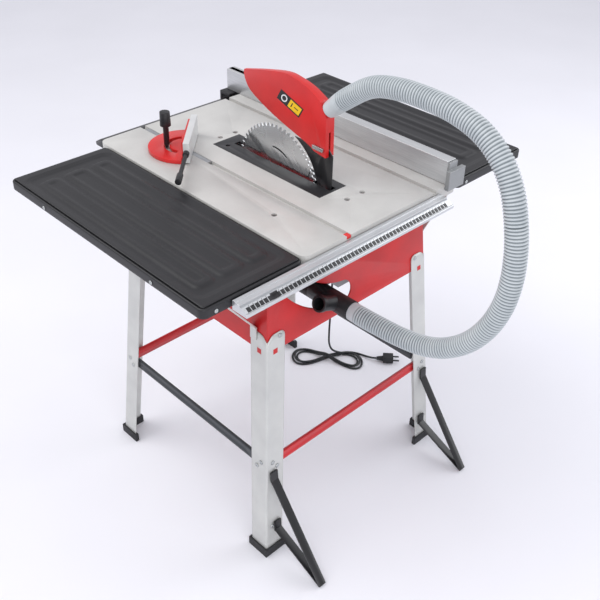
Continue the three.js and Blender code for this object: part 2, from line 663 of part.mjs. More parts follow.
// ---- rip fence on its two carriers ----
const fenceFace = -190;
const fenceWidth = 26;
const fenceZ = [tableTop + 1, tableTop + 54];
const fenceY = [-395, 316];
const fenceX = [fenceFace - fenceWidth, fenceFace];
add('fence', cut(
  block(fenceX, fenceY, fenceZ),
  block([fenceX[0] + 2.5, fenceX[1] - 2.5], [fenceY[0] - 1, fenceY[1] + 1], [fenceZ[0] + 12, fenceZ[1] - 2.5]),
), aluminium());
// a block in the fence's end and a plate that runs along the top of the rail
const railTop = railBase + 20;
add('fence_carrier_rear', join(
  block(fenceX, [fenceY[1] + gap, tableBack + 2], [tableTop + 1, fenceZ[1] - 2]),
  block([fenceX[0] - 18, fenceX[1] + 8], [tableBack + 0.6, tableBack + 11], [railTop + 0.6, tableTop + 36]),
), paintedGrey());
const frontRailOuter = tableFront - 2 - 44;
add('fence_carrier_front', cut(
  block([fenceX[0] - 20, fenceX[1] + 20], [frontRailOuter - 8, frontRailOuter + 30], [railBase - 10, tableTop + 1 - gap]),
  block([fenceX[0] - 30, fenceX[1] + 30], [frontRailOuter - 1, frontRailOuter + 60], [railBase - 20, railBase + 21]),
), blackPlastic());
const leverPivot = [frontRailOuter - 14, railBase + 14];
add('fence_lock_lever', join(
  rod('x', [fenceX[0] - 8, ...leverPivot], 42, 5.5, 14),
  block([fenceX[0] + 4, fenceX[1] - 4], [leverPivot[0] - 8, leverPivot[0]], [railBase - 52, leverPivot[1] + 2]),
), blackPlastic());

// ---- mitre gauge, swivelled on its bar in the right-hand slot ----
const gaugePivot = [slotRight, -190];
const gaugeTurn = Math.PI / 4;
const gauge = new THREE.Group();
gauge.position.set(gaugePivot[0], gaugePivot[1], 0);
gauge.rotation.z = gaugeTurn;
saw.add(gauge);

add('mitre_bar', block([slotRight - 6, slotRight + 6], [-330, -100], [tableTop - slotDepth + gap, tableTop - 0.2]), steel());

const quadrant = new THREE.Shape();
quadrant.absarc(0, 0, 80, Math.PI, Math.PI * 2, false);
quadrant.lineTo(80, 4);
quadrant.lineTo(-80, 4);
const arcSlot = new THREE.Path();
arcSlot.absarc(0, 0, 44, Math.PI * 1.08, Math.PI * 1.92, false);
arcSlot.absarc(0, 0, 32, Math.PI * 1.92, Math.PI * 1.08, true);
quadrant.holes.push(arcSlot);
const headBase = prism('z', quadrant, tableTop + 0.5, tableTop + 9, 14);
add('mitre_head', cut(
  join(
    headBase,
    block([-62, 62], [4, 9], [tableTop + 0.5, tableTop + 44]),
    block([-62, 62], [3, 5], [tableTop + 0.5, tableTop + 9]),
  ),
  block([-46, -10], [0, 12], [tableTop + 18, tableTop + 36]),
  block([10, 46], [0, 12], [tableTop + 18, tableTop + 36]),
), redPlastic(), gauge);
add('mitre_fence', join(
  cut(
    block([-78, 78], [9 + gap, 23], [tableTop + 2, tableTop + 48]),
    block([-90, 76], [12, 20], [tableTop + 6, tableTop + 44]),
  ),
  rod('x', [76, 16, tableTop + 26], 14, 7, 14),
  rod('x', [84, 16, tableTop + 26], 100, 4.5, 14),
  rod('x', [180, 16, tableTop + 26], 32, 7, 14),
), aluminium(), gauge);

const knobRadiusAt = 38;
const knobCentre = [0, -knobRadiusAt];
add('mitre_knob', join(
  rod('z', [...knobCentre, tableTop + 9 + gap], 46, 6.5, 16),
  rod('z', [...knobCentre, tableTop + 54], 33, 12.5, 12, 11.5),
  rod('z', [...knobCentre, tableTop + 1.5], 10, 4, 12),
), blackPlastic(), gauge);

// ---- switch on the front panel ----
const panelY = (z) => -(legY(z) - legSheet - gap);
const switchFace = panelY(switchPlace.z + switchPlace.halfHeight) - 24;
const switchBox = cut(
  block([switchPlace.x - switchPlace.halfWidth, switchPlace.x + switchPlace.halfWidth],
    [switchFace, panelY(switchPlace.z - switchPlace.halfHeight) - 10],
    [switchPlace.z - switchPlace.halfHeight, switchPlace.z + switchPlace.halfHeight]),
  block([switchPlace.x - 24, switchPlace.x + 24], [switchFace - 1, switchFace + 9], [switchPlace.z - 36, switchPlace.z + 36]),
);
add('switch_box', cut(switchBox,
  leaned(block([0, 300], [-200, 200], [500, 700])).scale(1, -1, 1).translate(0, 1000, 0)), blackPlastic());
const buttons = [['start_button', 17, greenPlastic], ['stop_button', -17, redPlastic]];
for (const [name, dz, material] of buttons) {
  add(name, block([switchPlace.x - 18, switchPlace.x + 18], [switchFace - 3, switchFace + 9 - 4.5],
    [switchPlace.z + dz - 14, switchPlace.z + dz + 14]), material());
}
add('overload_button', rod('z', [switchPlace.x, switchFace + 14, switchPlace.z + switchPlace.halfHeight + gap], 6, 6, 16),
  blackPlastic());

// ---- mains lead: gland, hanging stretch, figure-of-eight bundle, tail and plug ----
const cableRadius = 3;
const glandPlace = { y: -118, z: 590 };
const glandLength = 34;
const glandBase = -(legX(glandPlace.z) - legSheet - gap) - gap - 1;
add('cable_gland', rod('x', [glandBase - glandLength, glandPlace.y, glandPlace.z], glandLength, 5.5, 16, 9), rubber());

const bundleCentre = [-331, -128];
const bundleTurn = Math.atan2(154, -144);
const bundleTop = 4 * cableRadius + 1;

const bundleWaist = 12;
const nearLobe = { along: -70, across: -3, radius: 33 };
const farLobe = { along: 70, across: -17, radius: 36 };

function bundleOutline() {
  const shape = new THREE.Shape();
  shape.absarc(farLobe.along, farLobe.across, farLobe.radius, -Math.PI / 2, Math.PI / 2, false);
  shape.lineTo(0, bundleWaist);
  shape.absarc(nearLobe.along, nearLobe.across, nearLobe.radius, Math.PI / 2, Math.PI * 1.5, false);
  shape.lineTo(0, -bundleWaist);
  shape.closePath();
  return shape;
}
add('cable_bundle', prism('z', bundleOutline(), 0.2, bundleTop, 6).rotateZ(bundleTurn)
  .translate(bundleCentre[0], bundleCentre[1], 0), rubber());

const glandEnd = glandBase - glandLength;
const cableDrop = [
  [glandEnd - gap, glandPlace.y, glandPlace.z], [glandEnd - 10, glandPlace.y, glandPlace.z],
  [-312, -119, 582], [-326, -121, 560], [-333, -123, 525], [-336, -125, 470], [-337, -126, 400],
  [-337, -127, 320], [-336, -128, 230], [-334, -128, 130], [-331, -128, 60],
  [bundleCentre[0], bundleCentre[1], bundleTop + 20], [bundleCentre[0], bundleCentre[1], bundleTop + gap],
];
add('cable_drop', ropeAlong(cableDrop, cableRadius, 8, 60), rubber());

// a place on the floor counted from the bundle's middle, along its length and across it
const fromBundle = (along, across) => [
  bundleCentre[0] + Math.cos(bundleTurn) * along - Math.sin(bundleTurn) * across,
  bundleCentre[1] + Math.sin(bundleTurn) * along + Math.cos(bundleTurn) * across,
];
const tailHeight = cableRadius + 0.2;
const plugHeight = 9.2;
const plugPlace = fromBundle(150, 2);
const cableTail = [
  [...fromBundle(20.5, 17.5), tailHeight], [...fromBundle(25, 22), tailHeight], [...fromBundle(40, 30), tailHeight],
  [...fromBundle(60, 31), tailHeight], [...fromBundle(85, 28), tailHeight], [...fromBundle(110, 19), tailHeight],
  [...fromBundle(128, 8), tailHeight + 1], [...fromBundle(140, 2), plugHeight],
  [...fromBundle(150 - gap, 2), plugHeight],
];
add('cable_tail', ropeAlong(cableTail, cableRadius, 8, 24), rubber());
add('mains_plug', join(
  rod('x', [gap, 0, 0], 22, 5.2, 16, 9),
  prism('x', roundedRectangle(-17, -8.3, 17, 12, 7), 20, 50, 4),
  rod('x', [46, -9.5, 1], 22, 2.4, 10),
  rod('x', [46, 9.5, 1], 22, 2.4, 10),
).rotateZ(bundleTurn).translate(plugPlace[0], plugPlace[1], plugHeight), rubber());

// the origin is the middle of the footprint, without the hose and the mains lead
const cords = ['hose_upper', 'hose_lower', 'cable_drop', 'cable_bundle', 'cable_tail', 'mains_plug'];
const footprint = new THREE.Box3();
saw.updateMatrixWorld(true);
saw.traverse((piece) => {
  if (piece.isMesh && !cords.includes(piece.name)) footprint.expandByObject(piece, true);
});
saw.position.x = -(footprint.min.x + footprint.max.x) / 2;
saw.position.y = -(footprint.min.y + footprint.max.y) / 2;

export default model;
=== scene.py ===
import json
import math
import bmesh
import bpy
import numpy as np
from mathutils import Matrix, Vector

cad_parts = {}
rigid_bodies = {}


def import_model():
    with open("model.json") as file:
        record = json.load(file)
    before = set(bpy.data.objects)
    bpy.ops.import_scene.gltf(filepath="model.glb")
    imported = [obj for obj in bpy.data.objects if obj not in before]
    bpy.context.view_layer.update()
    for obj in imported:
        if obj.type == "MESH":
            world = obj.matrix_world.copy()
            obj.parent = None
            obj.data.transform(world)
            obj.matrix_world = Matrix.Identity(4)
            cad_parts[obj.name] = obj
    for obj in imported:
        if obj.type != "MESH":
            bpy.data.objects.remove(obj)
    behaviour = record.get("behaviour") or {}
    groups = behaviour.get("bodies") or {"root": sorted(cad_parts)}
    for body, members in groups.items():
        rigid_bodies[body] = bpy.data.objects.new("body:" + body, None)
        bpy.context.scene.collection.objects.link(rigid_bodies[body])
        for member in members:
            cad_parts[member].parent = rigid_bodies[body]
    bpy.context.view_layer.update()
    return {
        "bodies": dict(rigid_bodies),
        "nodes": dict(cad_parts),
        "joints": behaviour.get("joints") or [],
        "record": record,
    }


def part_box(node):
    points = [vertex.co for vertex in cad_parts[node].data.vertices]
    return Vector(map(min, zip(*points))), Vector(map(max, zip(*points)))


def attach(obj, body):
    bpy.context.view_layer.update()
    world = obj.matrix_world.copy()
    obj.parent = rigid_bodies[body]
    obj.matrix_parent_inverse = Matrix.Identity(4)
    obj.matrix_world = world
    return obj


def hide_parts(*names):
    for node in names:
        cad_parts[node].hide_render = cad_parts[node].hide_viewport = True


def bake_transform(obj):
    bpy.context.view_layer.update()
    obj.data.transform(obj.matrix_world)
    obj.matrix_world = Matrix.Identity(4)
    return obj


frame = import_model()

# Places are in millimetres, counted from the blade's centre line at floor level, and are
# moved into the model's frame by this much along Y.
bladeLow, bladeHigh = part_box("saw_blade")
shiftY = (bladeLow.y + bladeHigh.y) / 2 * 1000
arborHeight = 782


# millimetres from the blade's centre line, to metres in the model's frame
def placed(points):
    return (np.asarray(points, float) + np.array([0.0, shiftY, 0.0])) / 1000


# camera and lights
view = {"position": (1164.8, 1250.4, 1667.3), "azimuth": 135.124, "elevation": 35.505,
        "roll": 1.353, "lens": 51.41}


def makeCamera(values):
    az, el, roll = (math.radians(values[k]) for k in ("azimuth", "elevation", "roll"))
    ahead = -Vector((math.sin(az) * math.cos(el), -math.cos(az) * math.cos(el), math.sin(el)))
    right = ahead.cross(Vector((0, 0, 1))).normalized()
    up = right.cross(ahead)
    turned = (right * math.cos(roll) + up * math.sin(roll),
              -right * math.sin(roll) + up * math.cos(roll), -ahead)
    data = bpy.data.cameras.new("camera")
    data.lens, data.sensor_width = values["lens"], 36
    data.clip_start, data.clip_end = 0.05, 60
    camera = bpy.data.objects.new("camera", data)
    bpy.context.scene.collection.objects.link(camera)
    turn = Matrix(turned).transposed()
    camera.matrix_world = Matrix.Translation(Vector(placed(values["position"]))) @ turn.to_4x4()
    bpy.context.scene.camera = camera
    return camera


makeCamera(view)

light = {
    "key": {"place": (1.6, -1.2, 3.4), "size": 2.6, "power": 56, "color": (1.0, 0.99, 0.97)},
    "side": {"place": (-2.6, 1.2, 2.2), "size": 2.4, "power": 34, "color": (0.96, 0.98, 1.0)},
    "rear": {"place": (1.5, 2.6, 1.8), "size": 2.4, "power": 30, "color": (1.0, 1.0, 1.0)},
}
for name, values in light.items():
    lamp = bpy.data.lights.new(name, "AREA")
    lamp.energy, lamp.size, lamp.color = values["power"], values["size"], values["color"]
    lampObject = bpy.data.objects.new(name, lamp)
    lampObject.location = values["place"]
    lampObject.rotation_mode = "QUATERNION"
    lampObject.rotation_quaternion = (Vector((0, 0, 0.5)) - lampObject.location).to_track_quat("-Z", "Y")
    bpy.context.scene.collection.objects.link(lampObject)

world = bpy.data.worlds.new("studio")
bpy.context.scene.world = world
world.use_nodes = True
world.node_tree.nodes["Background"].inputs["Color"].default_value = (0.9, 0.9, 0.95, 1)
world.node_tree.nodes["Background"].inputs["Strength"].default_value = 0.82
bpy.context.scene.view_settings.view_transform = "Standard"


# materials

# sRGB hex to linear: each channel is ((c + 0.055) / 1.055) to the power 2.4, or c / 12.92 when dark
def linear(text):
    c = np.array([int(text[i:i + 2], 16) / 255 for i in (1, 3, 5)])
    c = np.where(c <= 0.04045, c / 12.92, ((c + 0.055) / 1.055) ** 2.4)
    return (*c.tolist(), 1.0)


# adds a node, sets its properties or sockets, and links sockets given as source outputs
def addNode(tree, kind, settings=None, **links):
    node = tree.nodes.new(kind)
    for key, value in (settings or {}).items():
        if isinstance(key, str) and hasattr(node, key):
            setattr(node, key, value)
        else:
            node.inputs[key].default_value = value
    for key, source in links.items():
        socket = node.inputs[key.replace("_", " ")] if key[0] != "i" or not key[1:].isdigit() \
            else node.inputs[int(key[1:])]
        tree.links.new(source, socket)
    return node


def newMaterial(name, roughness, metallic=0.0, coat=0.0, ior=1.5):
    material = bpy.data.materials.new(name)
    material.use_nodes = True
    tree = material.node_tree
    shader = tree.nodes["Principled BSDF"]
    shader.inputs["Roughness"].default_value = roughness
    shader.inputs["Metallic"].default_value = metallic
    shader.inputs["Coat Weight"].default_value = coat
    shader.inputs["Coat Roughness"].default_value = 0.2
    if metallic < 0.5:
        shader.inputs["IOR"].default_value = ior
    return material, tree, shader


# two tones mixed by a broad cloud, and a fine grain that gives bump and changes the roughness. grain
# and cloud are the real sizes in millimetres of the grain and of the cloudiness.
def speckled(name, base, other, roughness, grain, depth, metallic=0.0, cloud=70.0, share=0.25,
             roughSpread=0.08, coat=0.0, ior=1.5):
    material, tree, shader = newMaterial(name, roughness, metallic, coat, ior)
    place = addNode(tree, "ShaderNodeTexCoord").outputs["Object"]
    broad = addNode(tree, "ShaderNodeTexNoise", {"Scale": 1000 / cloud, "Detail": 3.0}, Vector=place)
    fine = addNode(tree, "ShaderNodeTexNoise", {"Scale": 1000 / grain, "Detail": 2.0, "Roughness": 0.6},
                   Vector=place)
    both = addNode(tree, "ShaderNodeMath", {"operation": "MULTIPLY_ADD", 1: share, 2: 0.0},
                   i0=fine.outputs["Fac"])
    summed = addNode(tree, "ShaderNodeMath", {"operation": "MULTIPLY_ADD", 1: 1 - share},
                     i0=broad.outputs["Fac"], i2=both.outputs[0])
    ramp = addNode(tree, "ShaderNodeValToRGB", Fac=summed.outputs[0])
    ramp.color_ramp.elements[0].position, ramp.color_ramp.elements[1].position = 0.35, 0.65
    ramp.color_ramp.elements[0].color, ramp.color_ramp.elements[1].color = linear(other), linear(base)
    rough = addNode(tree, "ShaderNodeMapRange",
                    {"To Min": roughness - roughSpread, "To Max": roughness + roughSpread},
                    Value=broad.outputs["Fac"])
    bump = addNode(tree, "ShaderNodeBump", {"Strength": 0.6, "Distance": depth / 1000},
                   Height=fine.outputs["Fac"])
    tree.links.new(ramp.outputs["Color"], shader.inputs["Base Color"])
    tree.links.new(rough.outputs["Result"], shader.inputs["Roughness"])
    tree.links.new(bump.outputs["Normal"], shader.inputs["Normal"])
    return material


# bare metal with drawn or ground lines: noise squeezed to line millimetres across them and stretched
# along them by stretch, three factors for X, Y and Z
def brushed(name, base, other, roughness, stretch, depth=0.02, metallic=1.0, line=0.8):
    material, tree, shader = newMaterial(name, roughness, metallic)
    place = addNode(tree, "ShaderNodeTexCoord").outputs["Object"]
    squeezed = addNode(tree, "ShaderNodeMapping", {"Scale": stretch}, Vector=place)
    lines = addNode(tree, "ShaderNodeTexNoise", {"Scale": 1000 / line, "Detail": 2.0},
                    Vector=squeezed.outputs[0])
    cloud = addNode(tree, "ShaderNodeTexNoise", {"Scale": 14.0, "Detail": 3.0}, Vector=place)
    ramp = addNode(tree, "ShaderNodeValToRGB", Fac=lines.outputs["Fac"])
    ramp.color_ramp.elements[0].position, ramp.color_ramp.elements[1].position = 0.3, 0.7
    ramp.color_ramp.elements[0].color, ramp.color_ramp.elements[1].color = linear(other), linear(base)
    rough = addNode(tree, "ShaderNodeMapRange", {"To Min": roughness - 0.07, "To Max": roughness + 0.1},
                    Value=cloud.outputs["Fac"])
    bump = addNode(tree, "ShaderNodeBump", {"Strength": 0.4, "Distance": depth / 1000},
                   Height=lines.outputs["Fac"])
    tree.links.new(ramp.outputs["Color"], shader.inputs["Base Color"])
    tree.links.new(rough.outputs["Result"], shader.inputs["Roughness"])
    tree.links.new(bump.outputs["Normal"], shader.inputs["Normal"])
    return material


# steel ground on a turntable: rings a millimetre or so apart about a centre in Y and Z
def turned(name, base, other, roughness, centre):
    material, tree, shader = newMaterial(name, roughness, 1.0)
    place = addNode(tree, "ShaderNodeTexCoord").outputs["Object"]
    moved = addNode(tree, "ShaderNodeMapping", {"Location": tuple(-c for c in centre)}, Vector=place)
    flat = addNode(tree, "ShaderNodeMapping", {"Scale": (0.0, 1.0, 1.0)}, Vector=moved.outputs[0])
    radius = addNode(tree, "ShaderNodeVectorMath", {"operation": "LENGTH"}, i0=flat.outputs[0])
    rings = addNode(tree, "ShaderNodeTexNoise", {"noise_dimensions": "1D", "Scale": 900.0, "Detail": 2.0},
                    W=radius.outputs["Value"])
    cloud = addNode(tree, "ShaderNodeTexNoise", {"Scale": 18.0}, Vector=place)
    ramp = addNode(tree, "ShaderNodeValToRGB", Fac=rings.outputs["Fac"])
    ramp.color_ramp.elements[0].color, ramp.color_ramp.elements[1].color = linear(other), linear(base)
    rough = addNode(tree, "ShaderNodeMapRange", {"To Min": roughness - 0.06, "To Max": roughness + 0.08},
                    Value=cloud.outputs["Fac"])
    bump = addNode(tree, "ShaderNodeBump", {"Strength": 0.4, "Distance": 0.00002},
                   Height=rings.outputs["Fac"])
    tree.links.new(ramp.outputs["Color"], shader.inputs["Base Color"])
    tree.links.new(rough.outputs["Result"], shader.inputs["Roughness"])
    tree.links.new(bump.outputs["Normal"], shader.inputs["Normal"])
    return material


# powder coat: fine orange peel and a soft, even sheen
tablePaint = speckled("tablePaint", "#c9c8c5", "#bebdba", 0.42, 1.6, 0.05, metallic=0.1)
# textured powder coat on pressed sheet: dark, slightly sparkling grain
charcoalPaint = speckled("charcoalPaint", "#242427", "#1c1c1f", 0.44, 1.5, 0.10, metallic=0.15)
# silver-grey powder coat with metal flake: bright and a little directional
legPaint = speckled("legPaint", "#cfd0cd", "#c2c3c1", 0.38, 1.2, 0.04, metallic=0.35)
# ABS moulded in a spark-eroded tool: fine leathery grain, strong colour
redAbs = speckled("redAbs", "#d6201f", "#c41b1b", 0.36, 1.4, 0.06, coat=0.15)
# glass-filled nylon housing: the same red, duller
redHousing = speckled("redHousing", "#c81e20", "#b3191b", 0.42, 2.0, 0.08)
# gloss paint on the pressed cross braces
redPaint = speckled("redPaint", "#c9242a", "#b31f26", 0.34, 1.2, 0.04, metallic=0.1, coat=0.2)
# grey-black paint on the other braces
slatePaint = speckled("slatePaint", "#414448", "#383b40", 0.42, 1.4, 0.05, metallic=0.2)
# moulded black nylon: fine grain, soft highlights
blackNylon = speckled("blackNylon", "#202023", "#17171a", 0.45, 1.2, 0.08)
# black paint on strip steel: smooth with a sharp highlight
blackPaint = speckled("blackPaint", "#1d1d20", "#161618", 0.3, 1.2, 0.02, metallic=0.1, coat=0.2)
# vulcanised rubber: matt and slightly dusty
rubberBlack = speckled("rubberBlack", "#1c1c1f", "#27272b", 0.68, 1.6, 0.10)
# soft PVC jacket: smooth and a little glossy
cableJacket = speckled("cableJacket", "#1e2023", "#26292c", 0.42, 1.5, 0.03)
# blown polyethylene hose: milky grey and waxy, with painted shade darkening the grooves between its ribs
hosePlastic = speckled("hosePlastic", "#c8ced1", "#bcc3c7", 0.34, 2.0, 0.03, cloud=40.0)
hoseTree = hosePlastic.node_tree
# painted shade: the per-point groove attribute multiplies the hose colour by a grey, darkening the grooves
groove = addNode(hoseTree, "ShaderNodeAttribute", {"attribute_name": "groove"})
grooveShadeMix = addNode(hoseTree, "ShaderNodeMix",
                {"data_type": "RGBA", "blend_type": "MULTIPLY", 7: linear("#8f969a")},
                i0=groove.outputs["Fac"], i6=hoseTree.nodes["Color Ramp"].outputs["Color"])
hoseTree.links.new(grooveShadeMix.outputs[2], hoseTree.nodes["Principled BSDF"].inputs["Base Color"])
# extruded aluminium: drawn lines along the bar
aluminiumAlongY = brushed("aluminiumAlongY", "#d3d4d5", "#c0c2c4", 0.34, (1.0, 0.02, 1.0), metallic=0.75)
aluminiumAlongX = brushed("aluminiumAlongX", "#d6d8da", "#c4c6c9", 0.32, (0.02, 1.0, 1.0), metallic=0.75)
# pressure die casting: light grey with a blasted skin
dieCast = speckled("dieCast", "#a9abac", "#929496", 0.5, 1.6, 0.12, metallic=0.7)
# saw plate: ground in rings, bright
bladeCentre = tuple(placed((0, 0, arborHeight)).tolist())
groundSteel = turned("groundSteel", "#e6e7e8", "#c2c4c6", 0.26, bladeCentre)
# zinc-plated screws
zincSteel = speckled("zincSteel", "#c3c6c6", "#a9acad", 0.28, 1.0, 0.02, metallic=0.95)
# bright steel bar and shafts, drawn along Y
drawnSteel = brushed("drawnSteel", "#b9bbbd", "#9c9ea1", 0.3, (1.0, 0.03, 1.0))
# extruded mitre fence: pale satin anodising
mitreAluminium = speckled("mitreAluminium", "#dcdddd", "#d0d1d2", 0.4, 1.2, 0.02, metallic=0.4)
# table insert: black paint on sheet steel, rubbed by the wood
insertSteel = speckled("insertSteel", "#242427", "#303033", 0.4, 1.2, 0.04, metallic=0.2, cloud=90.0)
# ink on labels and scales
labelBlack = speckled("labelBlack", "#151517", "#1b1b1e", 0.35, 1.0, 0.0, coat=0.3)
labelWhite = speckled("labelWhite", "#e9eaec", "#dcdde0", 0.4, 1.0, 0.0)
labelYellow = speckled("labelYellow", "#f2c414", "#e6b60c", 0.35, 1.0, 0.0, coat=0.2)
greenAbs = speckled("greenAbs", "#2c9c4b", "#24863f", 0.3, 1.2, 0.03, coat=0.2)
floorPaper = speckled("floorPaper", "#eeeef4", "#ebebf1", 0.85, 4.0, 0.02, cloud=500.0)
print("materials made")


# mesh helpers

# vertices in model metres; faces as index lists. The piece rides on a body of the frame.
def addMesh(name, vertices, faces, material, body, replaces=(), smooth=True, solid=None):
    mesh = bpy.data.meshes.new(name)
    mesh.from_pydata(np.asarray(vertices, float).tolist(), [], faces)
    mesh.validate()
    if smooth:
        mesh.shade_smooth()
    piece = bpy.data.objects.new(name, mesh)
    bpy.context.scene.collection.objects.link(piece)
    for m in material if isinstance(material, (list, tuple)) else [material]:
        mesh.materials.append(m)
    if solid:
        wall = piece.modifiers.new("wall", "SOLIDIFY")
        wall.thickness, wall.offset = solid / 1000, -1
    if body:
        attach(piece, body)
    if replaces:
        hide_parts(*replaces)
    return piece


# quads of a grid of points, row by row, joined round where an edge closes on itself
def gridFaces(rows, columns, closeRows=False, closeColumns=False, flip=False):
    r = np.arange(rows if closeRows else rows - 1)[:, None]
    c = np.arange(columns if closeColumns else columns - 1)[None, :]
    r2, c2 = (r + 1) % rows, (c + 1) % columns
    quads = np.stack(np.broadcast_arrays(r * columns + c, r * columns + c2, r2 * columns + c2,
                                         r2 * columns + c), -1).reshape(-1, 4)
    return (quads[:, ::-1] if flip else quads).tolist()


# a grid of closed rings, with its two end rings filled
def tube(grid, closeRows=False):
    rows, columns = grid.shape[:2]
    faces = gridFaces(rows, columns, closeRows, True)
    if not closeRows:
        faces.append(list(range(columns))[::-1])
        faces.append(list(range((rows - 1) * columns, rows * columns)))
    return grid.reshape(-1, 3), faces


# turns every face of a finished closed mesh outwards
def outward(piece):
    work = bmesh.new()
    work.from_mesh(piece.data)
    bmesh.ops.recalc_face_normals(work, faces=work.faces)
    work.to_mesh(piece.data)
    work.free()
    return piece


# rounds the edges that turn by more than the angle
def bevelled(piece, width, segments=2, angle=30):
    edge = piece.modifiers.new("edges", "BEVEL")
    edge.width, edge.segments, edge.limit_method = width / 1000, segments, "ANGLE"
    edge.angle_limit, edge.harden_normals = math.radians(angle), True
    return piece


# a cubic curve through points, each stretch shaped by the chords beside it, cut into equal steps
def smoothPath(points, spacing):
    p = np.asarray(points, float)
    chord = np.linalg.norm(np.diff(p, axis=0), axis=1)
    t = np.concatenate([[0], np.cumsum(np.sqrt(chord))])
    slope = np.gradient(p, t, axis=0)
    at = np.linspace(0, t[-1], 4000)
    k = np.clip(np.searchsorted(t, at, side="right") - 1, 0, len(t) - 2)
    h = (t[k + 1] - t[k])[:, None]
    s = ((at - t[k]) / (t[k + 1] - t[k]))[:, None]
    curve = ((2 * s**3 - 3 * s**2 + 1) * p[k] + (s**3 - 2 * s**2 + s) * h * slope[k]
             + (-2 * s**3 + 3 * s**2) * p[k + 1] + (s**3 - s**2) * h * slope[k + 1])
    gone = np.concatenate([[0], np.cumsum(np.linalg.norm(np.diff(curve, axis=0), axis=1))])
    count = max(2, int(round(gone[-1] / spacing)) + 1)
    want = np.linspace(0, gone[-1], count)
    return np.stack([np.interp(want, gone, curve[:, i]) for i in range(3)], 1), gone[-1]


# circles square to a path; radius has one value per step, reference is never along the path
def ringsAlong(path, radius, sides, reference):
    ahead = np.gradient(path, axis=0)
    ahead /= np.linalg.norm(ahead, axis=1)[:, None]
    across = np.asarray(reference, float) - (ahead @ np.asarray(reference, float))[:, None] * ahead
    across /= np.linalg.norm(across, axis=1)[:, None]
    third = np.cross(ahead, across)
    angle = np.linspace(0, 2 * math.pi, sides, endpoint=False)
    ring = (across[:, None, :] * np.cos(angle)[None, :, None]
            + third[:, None, :] * np.sin(angle)[None, :, None])
    return path[:, None, :] + ring * np.asarray(radius)[:, None, None]


# a profile of (radius, height) pairs turned about an axis, closed where the radius is small
def revolved(profile, centre, axis, sides=24):
    axis = np.asarray(axis, float) / np.linalg.norm(axis)
    side = np.array([1.0, 0, 0]) if abs(axis[0]) < 0.9 else np.array([0, 1.0, 0])
    side = side - side @ axis * axis
    side /= np.linalg.norm(side)
    third = np.cross(axis, side)
    profile = np.asarray(profile, float)
    angle = np.linspace(0, 2 * math.pi, sides, endpoint=False)
    ring = side * np.cos(angle)[:, None] + third * np.sin(angle)[:, None]
    return np.asarray(centre, float) + profile[:, 0, None, None] * ring + profile[:, 1, None, None] * axis


# domed heads with a hollow in the middle: one turned profile, copied to every place at once
def screws(name, places, axes, body, material, head=5.5, rise=2.6, sides=16):
    profile = [(head, 0), (head, rise * 0.35), (head * 0.86, rise * 0.75), (head * 0.55, rise),
               (head * 0.42, rise), (head * 0.3, rise * 0.45), (0.01, rise * 0.4)]
    vertices, faces = [], []
    for place, axis in zip(places, axes):
        points, quads = tube(revolved(profile, place, axis, sides))
        offset = sum(len(v) for v in vertices)
        faces += [[i + offset for i in face] for face in quads]
        vertices.append(points)
    return outward(addMesh(name, placed(np.concatenate(vertices)), faces, material, body))


# an outline across an axis, carried from low to high along it. The outline is given in the other two.
def extruded(name, outline, axis, low, high, material, body, slot, replaces=(), smooth=False):
    outline = np.asarray(outline, float)
    order = {"x": (1, 2, 0), "y": (0, 2, 1), "z": (0, 1, 2)}[axis]
    grid = np.zeros((2, len(outline), 3))
    grid[:, :, order[0]], grid[:, :, order[1]] = outline[:, 0], outline[:, 1]
    grid[0, :, order[2]], grid[1, :, order[2]] = low, high
    points, faces = tube(grid)
    return outward(addMesh(name, placed(points), faces, material, body, replaces, smooth))


# a copy of a CAD node with its loose triangles merged, flat faces joined and edges rounded
def finished(node, name, material, body, width=1.0, segments=2, angle=30):
    work = bmesh.new()
    work.from_mesh(frame["nodes"][node].data)
    bmesh.ops.remove_doubles(work, verts=work.verts, dist=2e-6)
    bmesh.ops.dissolve_limit(work, angle_limit=math.radians(0.5), verts=work.verts, edges=work.edges)
    mesh = bpy.data.meshes.new(name)
    work.to_mesh(mesh)
    work.free()
    mesh.shade_smooth()
    mesh.materials.clear()
    mesh.materials.append(material)
    piece = bpy.data.objects.new(name, mesh)
    bpy.context.scene.collection.objects.link(piece)
    bevelled(piece, width, segments, angle)
    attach(piece, body)
    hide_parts(node)
    return piece


# dust hose: a corrugated tube from the guard to the connector, in two stretches
hose = {
    "radius": 21.0, "pitch": 6.2, "depth": 2.6, "sides": 28, "cuffStart": 40.0, "cuffEnd": 15.0,
    "neckRadius": 17.0, "neckLength": 34.0, "cuffRadius": 20.2, "ribFade": 6.0,
    "outlet": (0, 147, 986), "outletAxis": (0.0, 0.769, 0.6392),
}
outletAxis = np.array(hose["outletAxis"]) / np.linalg.norm(hose["outletAxis"])
outletPoint = np.array(hose["outlet"], float)
hoseRoute = [
    tuple(outletPoint + outletAxis * 6.2), tuple(outletPoint + outletAxis * 68),
    (2, 262, 1070), (4, 325, 1085), (6, 394, 1088), (10, 460, 1084), (14, 519, 1068), (18, 564, 1038),
    (23, 598, 994), (28, 621, 933), (32, 632, 880), (36, 635, 832), (40, 630, 784), (45, 612, 730),
    (50, 578, 678), (55, 532, 640), (59, 486, 621), (63, 430, 613), (66, 380, 612), (68, 345, 612),
    (68, 304.8, 612)]
hoseLine, hoseLength = smoothPath(hoseRoute, hose["pitch"] / 5)
along = np.linspace(0, hoseLength, len(hoseLine))
wave = 0.5 + 0.5 * np.cos(2 * math.pi * along / hose["pitch"])
ribbed = np.clip(np.minimum(along - hose["cuffStart"], hoseLength - along - hose["cuffEnd"])
                 / hose["ribFade"], 0, 1)
# plain cuffs: the one at the guard widens from a narrow neck
cuff = hose["neckRadius"] + (hose["cuffRadius"] - hose["neckRadius"]) * np.clip(
    along / hose["neckLength"], 0, 1)
